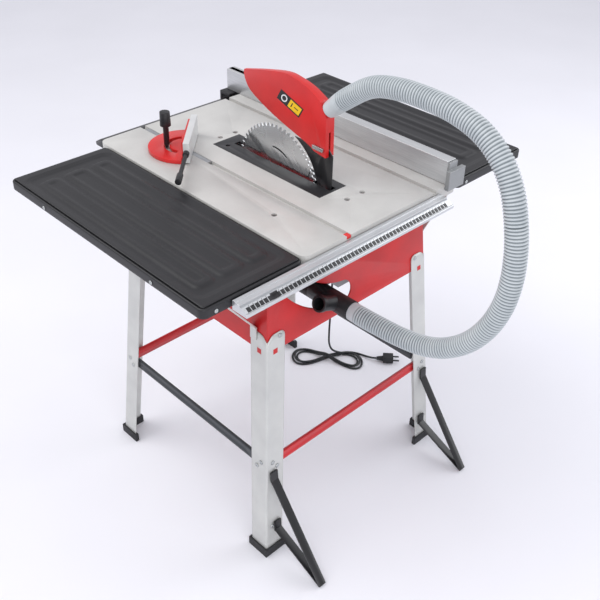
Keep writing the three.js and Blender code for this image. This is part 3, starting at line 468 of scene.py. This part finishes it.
# radius: outer radius less a groove that comes once a pitch
hoseRadius = (hose["radius"] - hose["depth"] * (1 - wave) ** 1.5) * ribbed + cuff * (1 - ribbed)
# how far into a groove each ring lies; it sets the painted shade of the grooves
grooveShadeMask = (1 - wave) ** 1.5 * ribbed
hoseRings = ringsAlong(hoseLine, hoseRadius, hose["sides"], (1, 0, 0))
middle = len(hoseLine) // 2
hosePieces = {}
for name, part, node in (("hoseUpper", slice(0, middle), "hose_upper"),
                         ("hoseLower", slice(middle, None), "hose_lower")):
    points, faces = tube(hoseRings[part])
    hosePieces[name] = outward(addMesh(name, placed(points), faces, hosePlastic, None, (node,)))
    value = hosePieces[name].data.attributes.new("groove", "FLOAT", "POINT")
    value.data.foreach_set("value", np.repeat(grooveShadeMask[part], hose["sides"]))
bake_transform(hosePieces["hoseUpper"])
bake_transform(hosePieces["hoseLower"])
print("hose made, length in mm", round(hoseLength))

# mains lead: hangs from its gland, lies in a figure of eight, and ends in its plug
lead = {
    "radius": 3.0, "bundleCentre": (-331.0, -128.0), "bundleTurn": math.atan2(154, -144),
    "reach": (106, 92, 99), "width": (72, 50, 60), "height": (3.3, 3.3, 8.6), "pointsPerTurn": 40,
}


# a place counted along and across the bundle, turned and moved to where it lies
def onFloor(alongBundle, acrossBundle, height):
    c, s = math.cos(lead["bundleTurn"]), math.sin(lead["bundleTurn"])
    a, b, z = np.broadcast_arrays(alongBundle, acrossBundle, height)
    return np.stack([lead["bundleCentre"][0] + c * a - s * b, lead["bundleCentre"][1] + s * a + c * b, z], -1)


# along is reach times sin, across is width times sin cos, lowered on the far lobe; the second pass over
# the middle rises over the first
def figureOfEight(turn, start, end):
    angle = np.radians(np.linspace(start, end, lead["pointsPerTurn"], endpoint=False))
    a = lead["reach"][turn] * np.sin(angle)
    b = lead["width"][turn] * np.sin(angle) * np.cos(angle) - 15 * np.clip(a / 100, 0, 1) ** 2
    rise = 5.0 * np.exp(-((a / 22) ** 2)) * (np.cos(angle) < 0) + 2.0 * turn * np.exp(-((a / 30) ** 2))
    return onFloor(a, b, lead["height"][turn] + rise)


glandTip = -284.92
drop = [(glandTip, -118, 590), (-294.6, -118, 590), (-312, -119, 582), (-326, -121, 560), (-333, -123, 525),
        (-336, -125, 470), (-337, -126, 400), (-337, -127, 320), (-336, -128, 230), (-335, -128, 150),
        (-334, -128, 95)]
turns = [figureOfEight(k, 32, 392) for k in range(3)]
landing = [onFloor(4, 1, 58), onFloor(13, 5, 33), onFloor(30, 14, 17)]
tail = [onFloor(a, b, z) for a, b, z in ((62, 31, 4), (88, 29, 3.3), (112, 19, 3.5), (130, 8, 6.5),
                                         (141, 2.5, 9), (149.7, 2, 9.2))]
leadLine, leadLength = smoothPath(np.concatenate([drop, landing, *turns, tail]), 4.0)
curve = bpy.data.curves.new("mainsLead", "CURVE")
curve.dimensions = "3D"
spline = curve.splines.new("POLY")
spline.points.add(len(leadLine) - 1)
spline.points.foreach_set("co", np.c_[placed(leadLine), np.ones(len(leadLine))].ravel())
curve.bevel_depth, curve.bevel_resolution, curve.use_fill_caps = lead["radius"] / 1000, 4, True
curve.materials.append(cableJacket)
mainsLead = bpy.data.objects.new("mainsLead", curve)
bpy.context.scene.collection.objects.link(mainsLead)
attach(mainsLead, "stand")
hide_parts("cable_drop", "cable_bundle", "cable_tail")
plug = finished("mains_plug", "mainsPlug", rubberBlack, "stand", 3.0, 3)
print("mains lead made, length in mm", round(leadLength))

# steel and plastic pieces whose CAD shape is right: merged, edges rounded, given their finish
corners = {"rear_right": (1, 1), "rear_left": (-1, 1), "front_right": (1, -1), "front_left": (-1, -1)}
plain = {
    # node: (name, finish, body, slot, edge width in mm)
    "housing": ("housing", redHousing, "stand", "red_plastic", 1.6),
    "main_table": ("mainTable", tablePaint, "stand", "table", 1.2),
    "stabiliser_right": ("stabiliserRight", blackPaint, "stand", "steel_black", 0.8),
    "stabiliser_left": ("stabiliserLeft", blackPaint, "stand", "steel_black", 0.8),
    "switch_box": ("switchBox", blackNylon, "stand", "black_plastic", 2.0),
    "start_button": ("startButton", greenAbs, "start_button", "green_plastic", 1.5),
    "stop_button": ("stopButton", redAbs, "stop_button", "red_plastic", 1.5),
    "overload_button": ("overloadButton", blackNylon, "overload_button", "black_plastic", 0.8),
    "cable_gland": ("cableGland", rubberBlack, "stand", "rubber", 0.8),
    "tilt_frame": ("tiltFrame", dieCast, "saw_unit", "cast_metal", 1.2),
    "dust_chute": ("dustChute", blackNylon, "saw_unit", "black_plastic", 1.0),
    "y_connector": ("yConnector", blackNylon, "saw_unit", "black_plastic", 1.0),
    "lift_carriage": ("liftCarriage", dieCast, "lift", "cast_metal", 1.5),
    "height_screw": ("heightScrew", drawnSteel, "height_screw", "steel", 0.3),
    "handwheel_shaft": ("handwheelShaft", drawnSteel, "handwheel", "steel", 0.3),
    "handwheel": ("handwheel", blackNylon, "handwheel", "black_plastic", 2.0),
    "crank_grip": ("crankGrip", blackNylon, "crank_grip", "black_plastic", 1.6),
    "tilt_lock_knob": ("tiltLockKnob", blackNylon, "tilt_lock", "black_plastic", 1.5),
    "motor": ("motor", slatePaint, "lift", "dark_paint", 2.0),
    "arbor_shaft": ("arborShaft", zincSteel, "blade", "steel", 0.5),
    "flange_nut": ("flangeNut", zincSteel, "blade", "steel", 0.6),
    "riving_knife": ("rivingKnife", blackPaint, "lift", "steel_black", 0.4),
    "blade_guard": ("bladeGuard", redAbs, "guard", "red_plastic", 2.4),
    "guard_wing_screw": ("guardWingScrew", zincSteel, "guard", "steel", 1.2),
    "fence": ("fence", aluminiumAlongY, "rip_fence", "aluminium", 0.7),
    "fence_carrier_rear": ("fenceCarrierRear", dieCast, "rip_fence", "table", 5.0),
    "fence_carrier_front": ("fenceCarrierFront", blackNylon, "rip_fence", "black_plastic", 2.0),
    "fence_lock_lever": ("fenceLockLever", blackNylon, "fence_lever", "black_plastic", 2.0),
    "mitre_bar": ("mitreBar", drawnSteel, "mitre_bar", "steel", 0.5),
    "mitre_head": ("mitreHead", redAbs, "mitre_head", "red_plastic", 1.0),
    "mitre_fence": ("mitreFence", mitreAluminium, "mitre_head", "aluminium", 0.8),
    "mitre_knob": ("mitreKnob", blackNylon, "mitre_knob", "black_plastic", 1.2),
    "saw_blade": ("sawBlade", groundSteel, "blade", "steel", 0.15),
    "table_insert": ("tableInsert", insertSteel, "stand", "black_plastic", 0.6),
    "front_rail": ("frontRail", blackPaint, "stand", "aluminium", 1.0),
}
segmentsFor = {"fence_carrier_rear": 4, "blade_guard": 3, "handwheel": 3}
shaped = {}
for node, (name, material, body, slot, width) in plain.items():
    shaped[node] = finished(node, name, material, body, width, segmentsFor.get(node, 2))
for corner, (signX, signY) in corners.items():
    words = corner.split("_")
    suffix = words[0].capitalize() + words[1].capitalize()
    finished(f"foot_{corner}", f"foot{suffix}", rubberBlack, "stand", 3.0, 3)
    finished(f"strut_{corner}", f"strut{suffix}", legPaint, "stand", 0.8)
print("plain pieces finished")

# legs: pressed angle with a rounded ridge and round shoulders at the top
leg = {"footX": 299.0, "footY": 289.0, "splay": 0.0803, "flange": 50.0, "top": 600.0, "ridge": 5.0,
       "bottom": 12.0, "shoulder": 13.0, "notch": 13.5, "sheet": 2.0, "rows": 40}


# across runs from -1 at one free edge, over the ridge at 0, to 1 at the other. The ridge is an arc: the
# distance from the corner on each flange is the larger part of across, the other is eased to 0.
def legPoint(across, height, values):
    reach = values["flange"] * np.abs(across)
    ease = np.clip(1 - reach / values["ridge"], 0, 1)
    inset = values["ridge"] * 0.3 * ease**2
    onX = np.where(across < 0, reach, 0) + inset
    onY = np.where(across >= 0, reach, 0) + inset
    return np.stack([values["footX"] - onX - values["splay"] * height,
                     values["footY"] - onY - values["splay"] * height, height], -1)


acrossLeg = np.concatenate([-np.linspace(1, 0.1, 24), np.linspace(-0.09, 0.09, 11), np.linspace(0.1, 1, 24)])
reachLeg = np.abs(acrossLeg) * leg["flange"]
# top edge: a dip at the ridge, level over the flange, and a round corner at the free edge
dip = leg["notch"] * np.exp(-((reachLeg / 11) ** 2))
pastShoulder = np.clip(reachLeg - (leg["flange"] - leg["shoulder"]), 0, leg["shoulder"])
shoulderDrop = leg["shoulder"] - np.sqrt(np.maximum(leg["shoulder"] ** 2 - pastShoulder**2, 0))
topLine = leg["top"] - 0.4 - dip - shoulderDrop
rise = np.linspace(0, 1, leg["rows"])
heightGrid = leg["bottom"] + (topLine[None, :] - leg["bottom"]) * rise[:, None]
legGrid = legPoint(acrossLeg[None, :] * np.ones((leg["rows"], 1)), heightGrid, leg)
for corner, (signX, signY) in corners.items():
    words = corner.split("_")
    grid = legGrid * np.array([signX, signY, 1])
    addMesh("leg" + words[0].capitalize() + words[1].capitalize(), placed(grid.reshape(-1, 3)),
            gridFaces(leg["rows"], len(acrossLeg), flip=signX * signY > 0), legPaint, "stand",
            (f"leg_{corner}",), solid=leg["sheet"])

# square windows near the leg tops, where the red body shows, each with a rim in the leg's paint
window = {"half": 6.0, "height": 558.0, "across": 23.5}


# corners of a square lying on each leg's flange: side 0 for the flange square to Y, 1 for the one
# square to X
def flangeQuads(half, proud, across, height, side):
    u = np.array([-half, half, half, -half])
    v = np.array([-half, -half, half, half])
    quads = []
    for signX, signY in corners.values():
        z = height + v
        x = leg["footX"] - leg["splay"] * z
        y = leg["footY"] - leg["splay"] * z
        if side == 0:
            points = np.stack([x - across - u, y + proud, z], 1)
        else:
            points = np.stack([x + proud, y - across - u, z], 1)
        quads.append(points * np.array([signX, signY, 1]))
    return np.concatenate(quads), [[4 * k + i for i in range(4)] for k in range(4)]


for rim, (extra, material, proud, slot) in {"windowRims": (1.3, legPaint, 0.12, "leg"),
                                            "windows": (0, redHousing, 0.3, "red_plastic")}.items():
    parts = [flangeQuads(window["half"] + extra, proud, window["across"], window["height"], side)
             for side in (0, 1)]
    points = np.concatenate([p for p, _ in parts])
    faces = parts[0][1] + [[i + 16 for i in face] for face in parts[1][1]]
    addMesh("leg" + rim.capitalize(), placed(points), faces, material, "stand", smooth=False, solid=0.1)

# screws through the legs: at the tops, the braces and the stabilisers
screwPlaces, screwAxes = [], []
for signX, signY in corners.values():
    for height, across, sides in ((590, 36, (0, 1)), (270, 18, (0, 1)), (254, 32, (0, 1)), (236, 18, (0,)),
                                  (84, 18, (0,))):
        if signY < 0 and height in (236, 84):
            continue
        x, y = leg["footX"] - leg["splay"] * height, leg["footY"] - leg["splay"] * height
        for side in sides:
            place = (x - across, y, height) if side == 0 else (x, y - across, height)
            screwPlaces.append(np.array(place) * (signX, signY, 1))
            screwAxes.append((0, signY, 0) if side == 0 else (signX, 0, 0))
screws("legScrews", screwPlaces, screwAxes, "stand", zincSteel)
print("legs made")

# braces: a pressed channel with a long groove that runs out before its ends
brace = {"height": 26.0, "depth": 8.0, "groove": 2.6, "grooveHalf": 6.5, "endFade": 34.0}


# profile round the outside of the channel; the groove is a smooth hollow in its face, faded by
# smoothstep of the distance from each end
def channel(length, values):
    h, d = values["height"] / 2 - 0.3, values["depth"] - 0.3
    faceZ = np.linspace(h - 1.5, -h + 1.5, 33)
    profile = [(0.3, h - 0.2)] + [(d - 1.5 + 1.5 * math.sin(a), h - 1.5 + 1.5 * math.cos(a)) for a in
                                  np.linspace(0, math.pi / 2, 5)]
    profile += [(d, z) for z in faceZ[1:-1]]
    profile += [(d - 1.5 + 1.5 * math.cos(a), -h + 1.5 - 1.5 * math.sin(a))
                for a in np.linspace(0, math.pi / 2, 5)]
    profile += [(0.3, -h + 0.2)]
    profile = np.array(profile)
    s = np.linspace(-length + 0.3, length - 0.3, 160)
    fade = np.clip((length - np.abs(s) - 16) / values["endFade"], 0, 1)
    fade = fade * fade * (3 - 2 * fade)
    hollow = values["groove"] * np.clip(1 - (np.abs(profile[:, 1]) / values["grooveHalf"]) ** 4, 0, 1)
    hollow = hollow * (profile[:, 0] > d - 0.01)
    out = profile[None, :, 0] - hollow[None, :] * fade[:, None]
    return s, out, profile[:, 1]


for node, name, material, slot in (("brace_rear", "braceRear", redPaint, "red_paint"),
                                   ("brace_front", "braceFront", redPaint, "red_paint"),
                                   ("brace_right", "braceRight", slatePaint, "dark_paint"),
                                   ("brace_left", "braceLeft", slatePaint, "dark_paint")):
    low, high = (np.array(c) * 1000 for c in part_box(node))
    low[1] -= shiftY
    high[1] -= shiftY
    lengthwise = 0 if node in ("brace_rear", "brace_front") else 1
    outer = 1 - lengthwise
    s, out, z = channel((high[lengthwise] - low[lengthwise]) / 2, brace)
    sign = 1 if node in ("brace_rear", "brace_right") else -1
    base = low[outer] if sign > 0 else high[outer]
    grid = np.zeros((len(s), len(z), 3))
    grid[:, :, lengthwise] = s[:, None]
    grid[:, :, outer] = base + sign * out
    grid[:, :, 2] = (low[2] + high[2]) / 2 + z[None, :]
    points, faces = tube(grid)
    outward(addMesh(name, placed(points), faces, material, "stand", (node,)))
print("braces made")

# extensions: pressed trays, long nested ribs inside a flat border, folded skirt
tray = {"inner": 230.5, "outer": 469.0, "halfDepth": 320.0, "top": 817.0, "skirt": 19.7, "corner": 9.0,
        "fillet": 3.5, "step": 3.0, "sheet": 2.0, "ribDepth": 3.0}


# signed distance from the edge of a rounded rectangle, negative inside
def roundedBox(x, y, halfX, halfY, radius):
    dx, dy = np.abs(x) - halfX + radius, np.abs(y) - halfY + radius
    return np.minimum(np.maximum(dx, dy), 0) + np.hypot(np.maximum(dx, 0), np.maximum(dy, 0)) - radius


# three long ribs side by side: each a rounded rectangle whose border is a shallow channel; a channel's
# depth is a bell of the distance from the line, and a wide step frames them all
def ribHeight(x, y, values):
    halfX, halfY = (values["outer"] - values["inner"]) / 2, values["halfDepth"]
    frame = roundedBox(x, y, halfX - 22, halfY - 34, 16)
    depth = values["ribDepth"] * 0.9 / (1 + np.exp(np.clip(-frame / 1.6, -50, 50))) - values["ribDepth"] * 0.9
    z = depth * 0.8
    for centre, half in ((-62, 21), (0, 26), (62, 21)):
        rib = roundedBox(x - centre, y, half, halfY - 58, 13)
        z = z + values["ribDepth"] * 1.15 / (1 + np.exp(np.clip(rib / 1.5, -50, 50)))
        inner = roundedBox(x - centre, y, half - 11, halfY - 74, 8)
        z = z - values["ribDepth"] * 0.8 / (1 + np.exp(np.clip(inner / 1.5, -50, 50)))
    return z - values["ribDepth"] * 0.35 * (frame < 8)


def makeTray(side, values):
    halfX = (values["outer"] - values["inner"]) / 2 - 0.3
    halfY = values["halfDepth"] - 0.3
    centreX = (values["outer"] + values["inner"]) / 2
    f, r = values["fillet"], values["corner"]
    nx, ny = int(2 * (halfX - f) / values["step"]) + 1, int(2 * (halfY - f) / values["step"]) + 1
    gx, gy = np.meshgrid(np.linspace(-halfX + f, halfX - f, nx),
                         np.linspace(-halfY + f, halfY - f, ny), indexing="ij")
    # the square corners are drawn in to quarter circles
    a = np.clip((np.abs(gx) - (halfX - f - r)) / r, 0, 1)
    b = np.clip((np.abs(gy) - (halfY - f - r)) / r, 0, 1)
    both = (a > 0) & (b > 0)
    x = np.where(both, np.sign(gx) * (halfX - f - r + r * a * np.sqrt(1 - b * b / 2)), gx)
    y = np.where(both, np.sign(gy) * (halfY - f - r + r * b * np.sqrt(1 - a * a / 2)), gy)
    z = values["top"] - 0.2 + np.minimum(ribHeight(gx, gy, values), 0)
    top = np.stack([x, y, z], -1)
    index = np.arange(nx * ny).reshape(nx, ny)
    ring = np.concatenate([index[:-1, 0], index[-1, :-1], index[:0:-1, -1], index[0, :0:-1]])
    edge = top.reshape(-1, 3)[ring]
    tangent = np.roll(edge, -1, 0) - np.roll(edge, 1, 0)
    normal = np.stack([tangent[:, 1], -tangent[:, 0]], 1)
    normal /= np.linalg.norm(normal, axis=1)[:, None]
    turn = np.linspace(0, math.pi / 2, 6)[1:]
    out = np.concatenate([f * np.sin(turn), [f] * 4])
    down = np.concatenate([f * (1 - np.cos(turn)), np.linspace(f, values["skirt"], 5)[1:]])
    skirt = np.stack([edge[None, :, 0] + out[:, None] * normal[None, :, 0],
                      edge[None, :, 1] + out[:, None] * normal[None, :, 1],
                      values["top"] - 0.2 - down[:, None] + 0 * edge[None, :, 2]], -1)
    points = np.concatenate([top.reshape(-1, 3), skirt.reshape(-1, 3)])
    faces = np.array(gridFaces(nx, ny))
    n, start = len(ring), nx * ny
    levels = np.concatenate([ring[None, :], start + np.arange(len(out) * n).reshape(len(out), n)])
    upper, lower = levels[:-1], levels[1:]
    sides = np.stack([upper, lower, np.roll(lower, -1, 1), np.roll(upper, -1, 1)], -1).reshape(-1, 4)
    points = points * (side, 1, 1) + (side * centreX, 0, 0)
    every = faces.tolist() + sides.tolist()
    if side < 0:
        every = [face[::-1] for face in every]
    return points, every


for side, word in ((1, "Right"), (-1, "Left")):
    points, faces = makeTray(side, tray)
    addMesh("extension" + word, placed(points), faces, charcoalPaint, "stand",
            (f"extension_{word.lower()}",), solid=tray["sheet"])
# bolts in the skirts
boltPlaces = [(side * x, sy * 319.7, 804) for side in (1, -1) for sy in (1, -1) for x in (262, 438)]
boltPlaces += [(side * 469.2, y, 804) for side in (1, -1) for y in (-187, 175)]
boltAxes = [(0, math.copysign(1, p[1]), 0) for p in boltPlaces[:8]] + [(math.copysign(1, p[0]), 0, 0)
                                                                      for p in boltPlaces[8:]]
screws("skirtBolts", boltPlaces, boltAxes, "stand", zincSteel, head=4.2, rise=1.6)
print("extensions made")


# rear rail: raised inner lip, flat band, groove, and a sloping face that carries the scale
rail = {"ends": (-165.0, 405.0), "scaleEnds": (-150.0, 392.0), "step": 10.0, "blockWidth": 8.4}
railOutline = [(322, 792), (360, 792), (362, 795), (362, 799.5), (360.6, 801), (358, 800.2),
               (346.5, 807.8), (345, 805.5), (342.5, 805.5), (341.5, 809.8), (331, 810.6),
               (330.4, 812), (323, 812), (322, 811)]
bevelled(extruded("rearRail", railOutline, "x", *rail["ends"], aluminiumAlongX, "stand", "aluminium",
                  ("rear_rail",)), 0.4)
slopeLow, slopeHigh = np.array(railOutline[5], float), np.array(railOutline[6], float)
slopeOut = np.array([0.55, 0.83]) * 0.12  # lifts the print off the face


# rectangles on the sloping face: each from a start along X, between two shares of the slope
def printed(name, starts, width, low, high, material):
    starts = np.asarray(starts, float)
    ends = [slopeLow + (slopeHigh - slopeLow) * share + slopeOut for share in (low, high)]
    corner = np.array([(0, *ends[0]), (width, *ends[0]), (width, *ends[1]), (0, *ends[1])])
    points = corner[None, :, :] + starts[:, None, None] * np.array([1.0, 0, 0])
    faces = np.arange(4 * len(starts)).reshape(-1, 4).tolist()
    addMesh(name, placed(points.reshape(-1, 3)), faces, material, "stand",
            smooth=False, solid=0.08)


scaleStarts = np.arange(*rail["scaleEnds"], rail["step"])
printed("scaleBlocks", scaleStarts, rail["blockWidth"], 0.06, 0.74, labelBlack)
printed("scaleTicks", scaleStarts, 0.7, 0.74, 0.94, labelBlack)
printed("scaleMark", [324.0], 17.0, 0.02, 0.98, labelBlack)
print("rail made")

# blade: carbide tips, and slots that let the plate grow when it is hot
blade = {"teeth": 60, "tipHalf": 1.5, "slotHalf": 1.3, "slotSteps": 24}


# a place on the blade from its distance to the arbor and its angle, at an offset in X
def aboutArbor(radius, angle, x):
    radius, angle, x = np.broadcast_arrays(radius, angle, x)
    return np.stack([x, np.cos(angle) * radius, arborHeight + np.sin(angle) * radius], -1)


toothAngle = np.arange(blade["teeth"]) * 2 * math.pi / blade["teeth"]
tipRadius = np.array([124.6, 124.2, 119.4, 119.2])
tipAngle = np.array([0.002, 0.017, 0.017, 0.002])
tips = [aboutArbor(tipRadius[None, :], toothAngle[:, None] + tipAngle[None, :], side * blade["tipHalf"])
        for side in (-1, 1)]
tipPoints = np.stack(tips, 1).reshape(-1, 3)
box = np.array([[0, 1, 2, 3], [7, 6, 5, 4], [0, 4, 5, 1], [1, 5, 6, 2], [2, 6, 7, 3], [3, 7, 4, 0]])
tipFaces = (box[None, :, :] + 8 * np.arange(blade["teeth"])[:, None, None]).reshape(-1, 4).tolist()
outward(addMesh("bladeTips", placed(tipPoints), tipFaces, zincSteel, "blade", smooth=False))

slotPoints, slotFaces = [], []
for startRadius, endRadius, startAngle, endAngle, width, copies in ((72.6, 67.0, 102, 61.5, 4.2, 4),
                                                                    (116.5, 103.0, 28, 21, 2.4, 2)):
    share = np.linspace(0, 1, blade["slotSteps"])
    radius = startRadius + (endRadius - startRadius) * share
    # the slot is widest in its middle: width times the fourth root of a half circle
    half = width / 2 * np.maximum(1 - (2 * share - 1) ** 2, 0.02) ** 0.25
    for copy in range(copies):
        angle = np.radians(startAngle + (endAngle - startAngle) * share + copy * 360 / copies)
        line = aboutArbor(radius, angle, 0.0)
        ahead = np.gradient(line, axis=0)
        square = np.cross(ahead, [1.0, 0, 0])
        square /= np.linalg.norm(square, axis=1)[:, None]
        for side in (-1, 1):
            strip = np.stack([line + square * half[:, None], line - square * half[:, None]], 1)
            strip[:, :, 0] = side * blade["slotHalf"]
            offset = sum(len(p) for p in slotPoints)
            slotFaces += [[i + offset for i in face]
                          for face in gridFaces(blade["slotSteps"], 2, flip=side < 0)]
            slotPoints.append(strip.reshape(-1, 3))
addMesh("bladeSlots", placed(np.concatenate(slotPoints)), slotFaces, labelBlack, "blade",
        smooth=False, solid=0.06)
print("blade made")

# guard label: a black plate with a grey ring and a yellow panel
label = {"corner": (19.0, 995.0), "along": (69.0, -22.0), "down": (-14.0, -23.0), "ring": (6.0, 9.0),
         "rearHalf": 12, "noseShare": 0.3, "rearShare": 0.7, "noseY": -103, "guardLength": 259}


# a place on the guard's right side: half its width grows in a straight line from nose to rear
def onGuard(share, fall, lift):
    share, fall = np.broadcast_arrays(np.asarray(share, float), np.asarray(fall, float))
    y = label["corner"][0] + label["along"][0] * share + label["down"][0] * fall
    z = label["corner"][1] + label["along"][1] * share + label["down"][1] * fall
    half = label["rearHalf"] * (label["noseShare"] + label["rearShare"] * (y - label["noseY"])
                                / label["guardLength"])
    return np.stack([half + lift, y, z], -1)


def labelPanel(name, left, right, top, bottom, lift, material):
    points = onGuard([left, right, right, left], [top, top, bottom, bottom], lift)
    addMesh(name, placed(points), [[0, 1, 2, 3]], material, "guard",
            smooth=False, solid=0.08)


labelPanel("labelPlate", 0, 1, 0, 1, 0.12, labelBlack)
labelPanel("labelPanel", 0.46, 0.95, 0.12, 0.88, 0.24, labelYellow)
labelPanel("labelBar", 0.56, 0.6, 0.3, 0.7, 0.34, labelBlack)
labelPanel("labelBarLow", 0.68, 0.86, 0.46, 0.54, 0.34, labelBlack)
ringAngle = np.linspace(0, 2 * math.pi, 33)[:-1]
ringLong, ringDown = np.hypot(*label["along"]), np.hypot(*label["down"])
ring = np.stack([onGuard(0.24 + r * np.cos(ringAngle) / ringLong,
                         0.5 + r * np.sin(ringAngle) / ringDown, 0.24) for r in label["ring"]])
addMesh("labelRing", placed(ring.reshape(-1, 3)), gridFaces(2, 32, False, True), labelWhite, "guard",
        smooth=False, solid=0.08)
print("label made")

# mitre gauge: the stop rod and its ends are black; the fence's plate is not
gauge = {"pivot": (110.0, -190.0), "turn": math.pi / 4, "plateEnd": 78.5}
mitreMesh = shaped["mitre_fence"].data
mitreMesh.materials.append(blackNylon)
centres = np.zeros(len(mitreMesh.polygons) * 3)
mitreMesh.polygons.foreach_get("center", centres)
pivot = placed((gauge["pivot"][0], gauge["pivot"][1], 0))
# along the fence: the turned X of the offset from the pivot
alongFence = ((centres.reshape(-1, 3) - pivot) @ (math.cos(gauge["turn"]), math.sin(gauge["turn"]), 0)) * 1000
mitreMesh.polygons.foreach_set("material_index", (alongFence > gauge["plateEnd"]).astype(np.int32))

# black strip in the front of the fence's top, and the red stop at the end of the right-hand slot
fenceStrip = [(-209, 873.6), (-197, 873.6), (-197, 874), (-209, 874)]
extruded("fenceStrip", fenceStrip, "y", -394.5, -322, blackNylon, "rip_fence", "black_plastic")
slotEnd = [(104, 812.4), (116, 812.4), (116, 819), (104, 819)]
bevelled(extruded("slotStop", slotEnd, "y", 308, 319.4, redAbs, "stand", "red_plastic"), 0.8)
# upper edge of the dust chute, a black sheet beside the blade; it also stands in as painted shade, closing
# the view down past the blade
chuteEdgeAndShade = [(-13.8, 797), (-13.2, 797), (-13.2, 811), (-13.8, 811)]
extruded("dustChuteEdgeShade", chuteEdgeAndShade, "y", -135, 165, blackNylon, "saw_unit", "black_plastic")
print("small pieces made")

# floor
floorHalf = 9
floorCorners = [(x * floorHalf, y * floorHalf, 0) for x, y in ((-1, -1), (1, -1), (1, 1), (-1, 1))]
floor = addMesh("floor", floorCorners, [[0, 1, 2, 3]], floorPaper, None, smooth=False)

print("scene made")
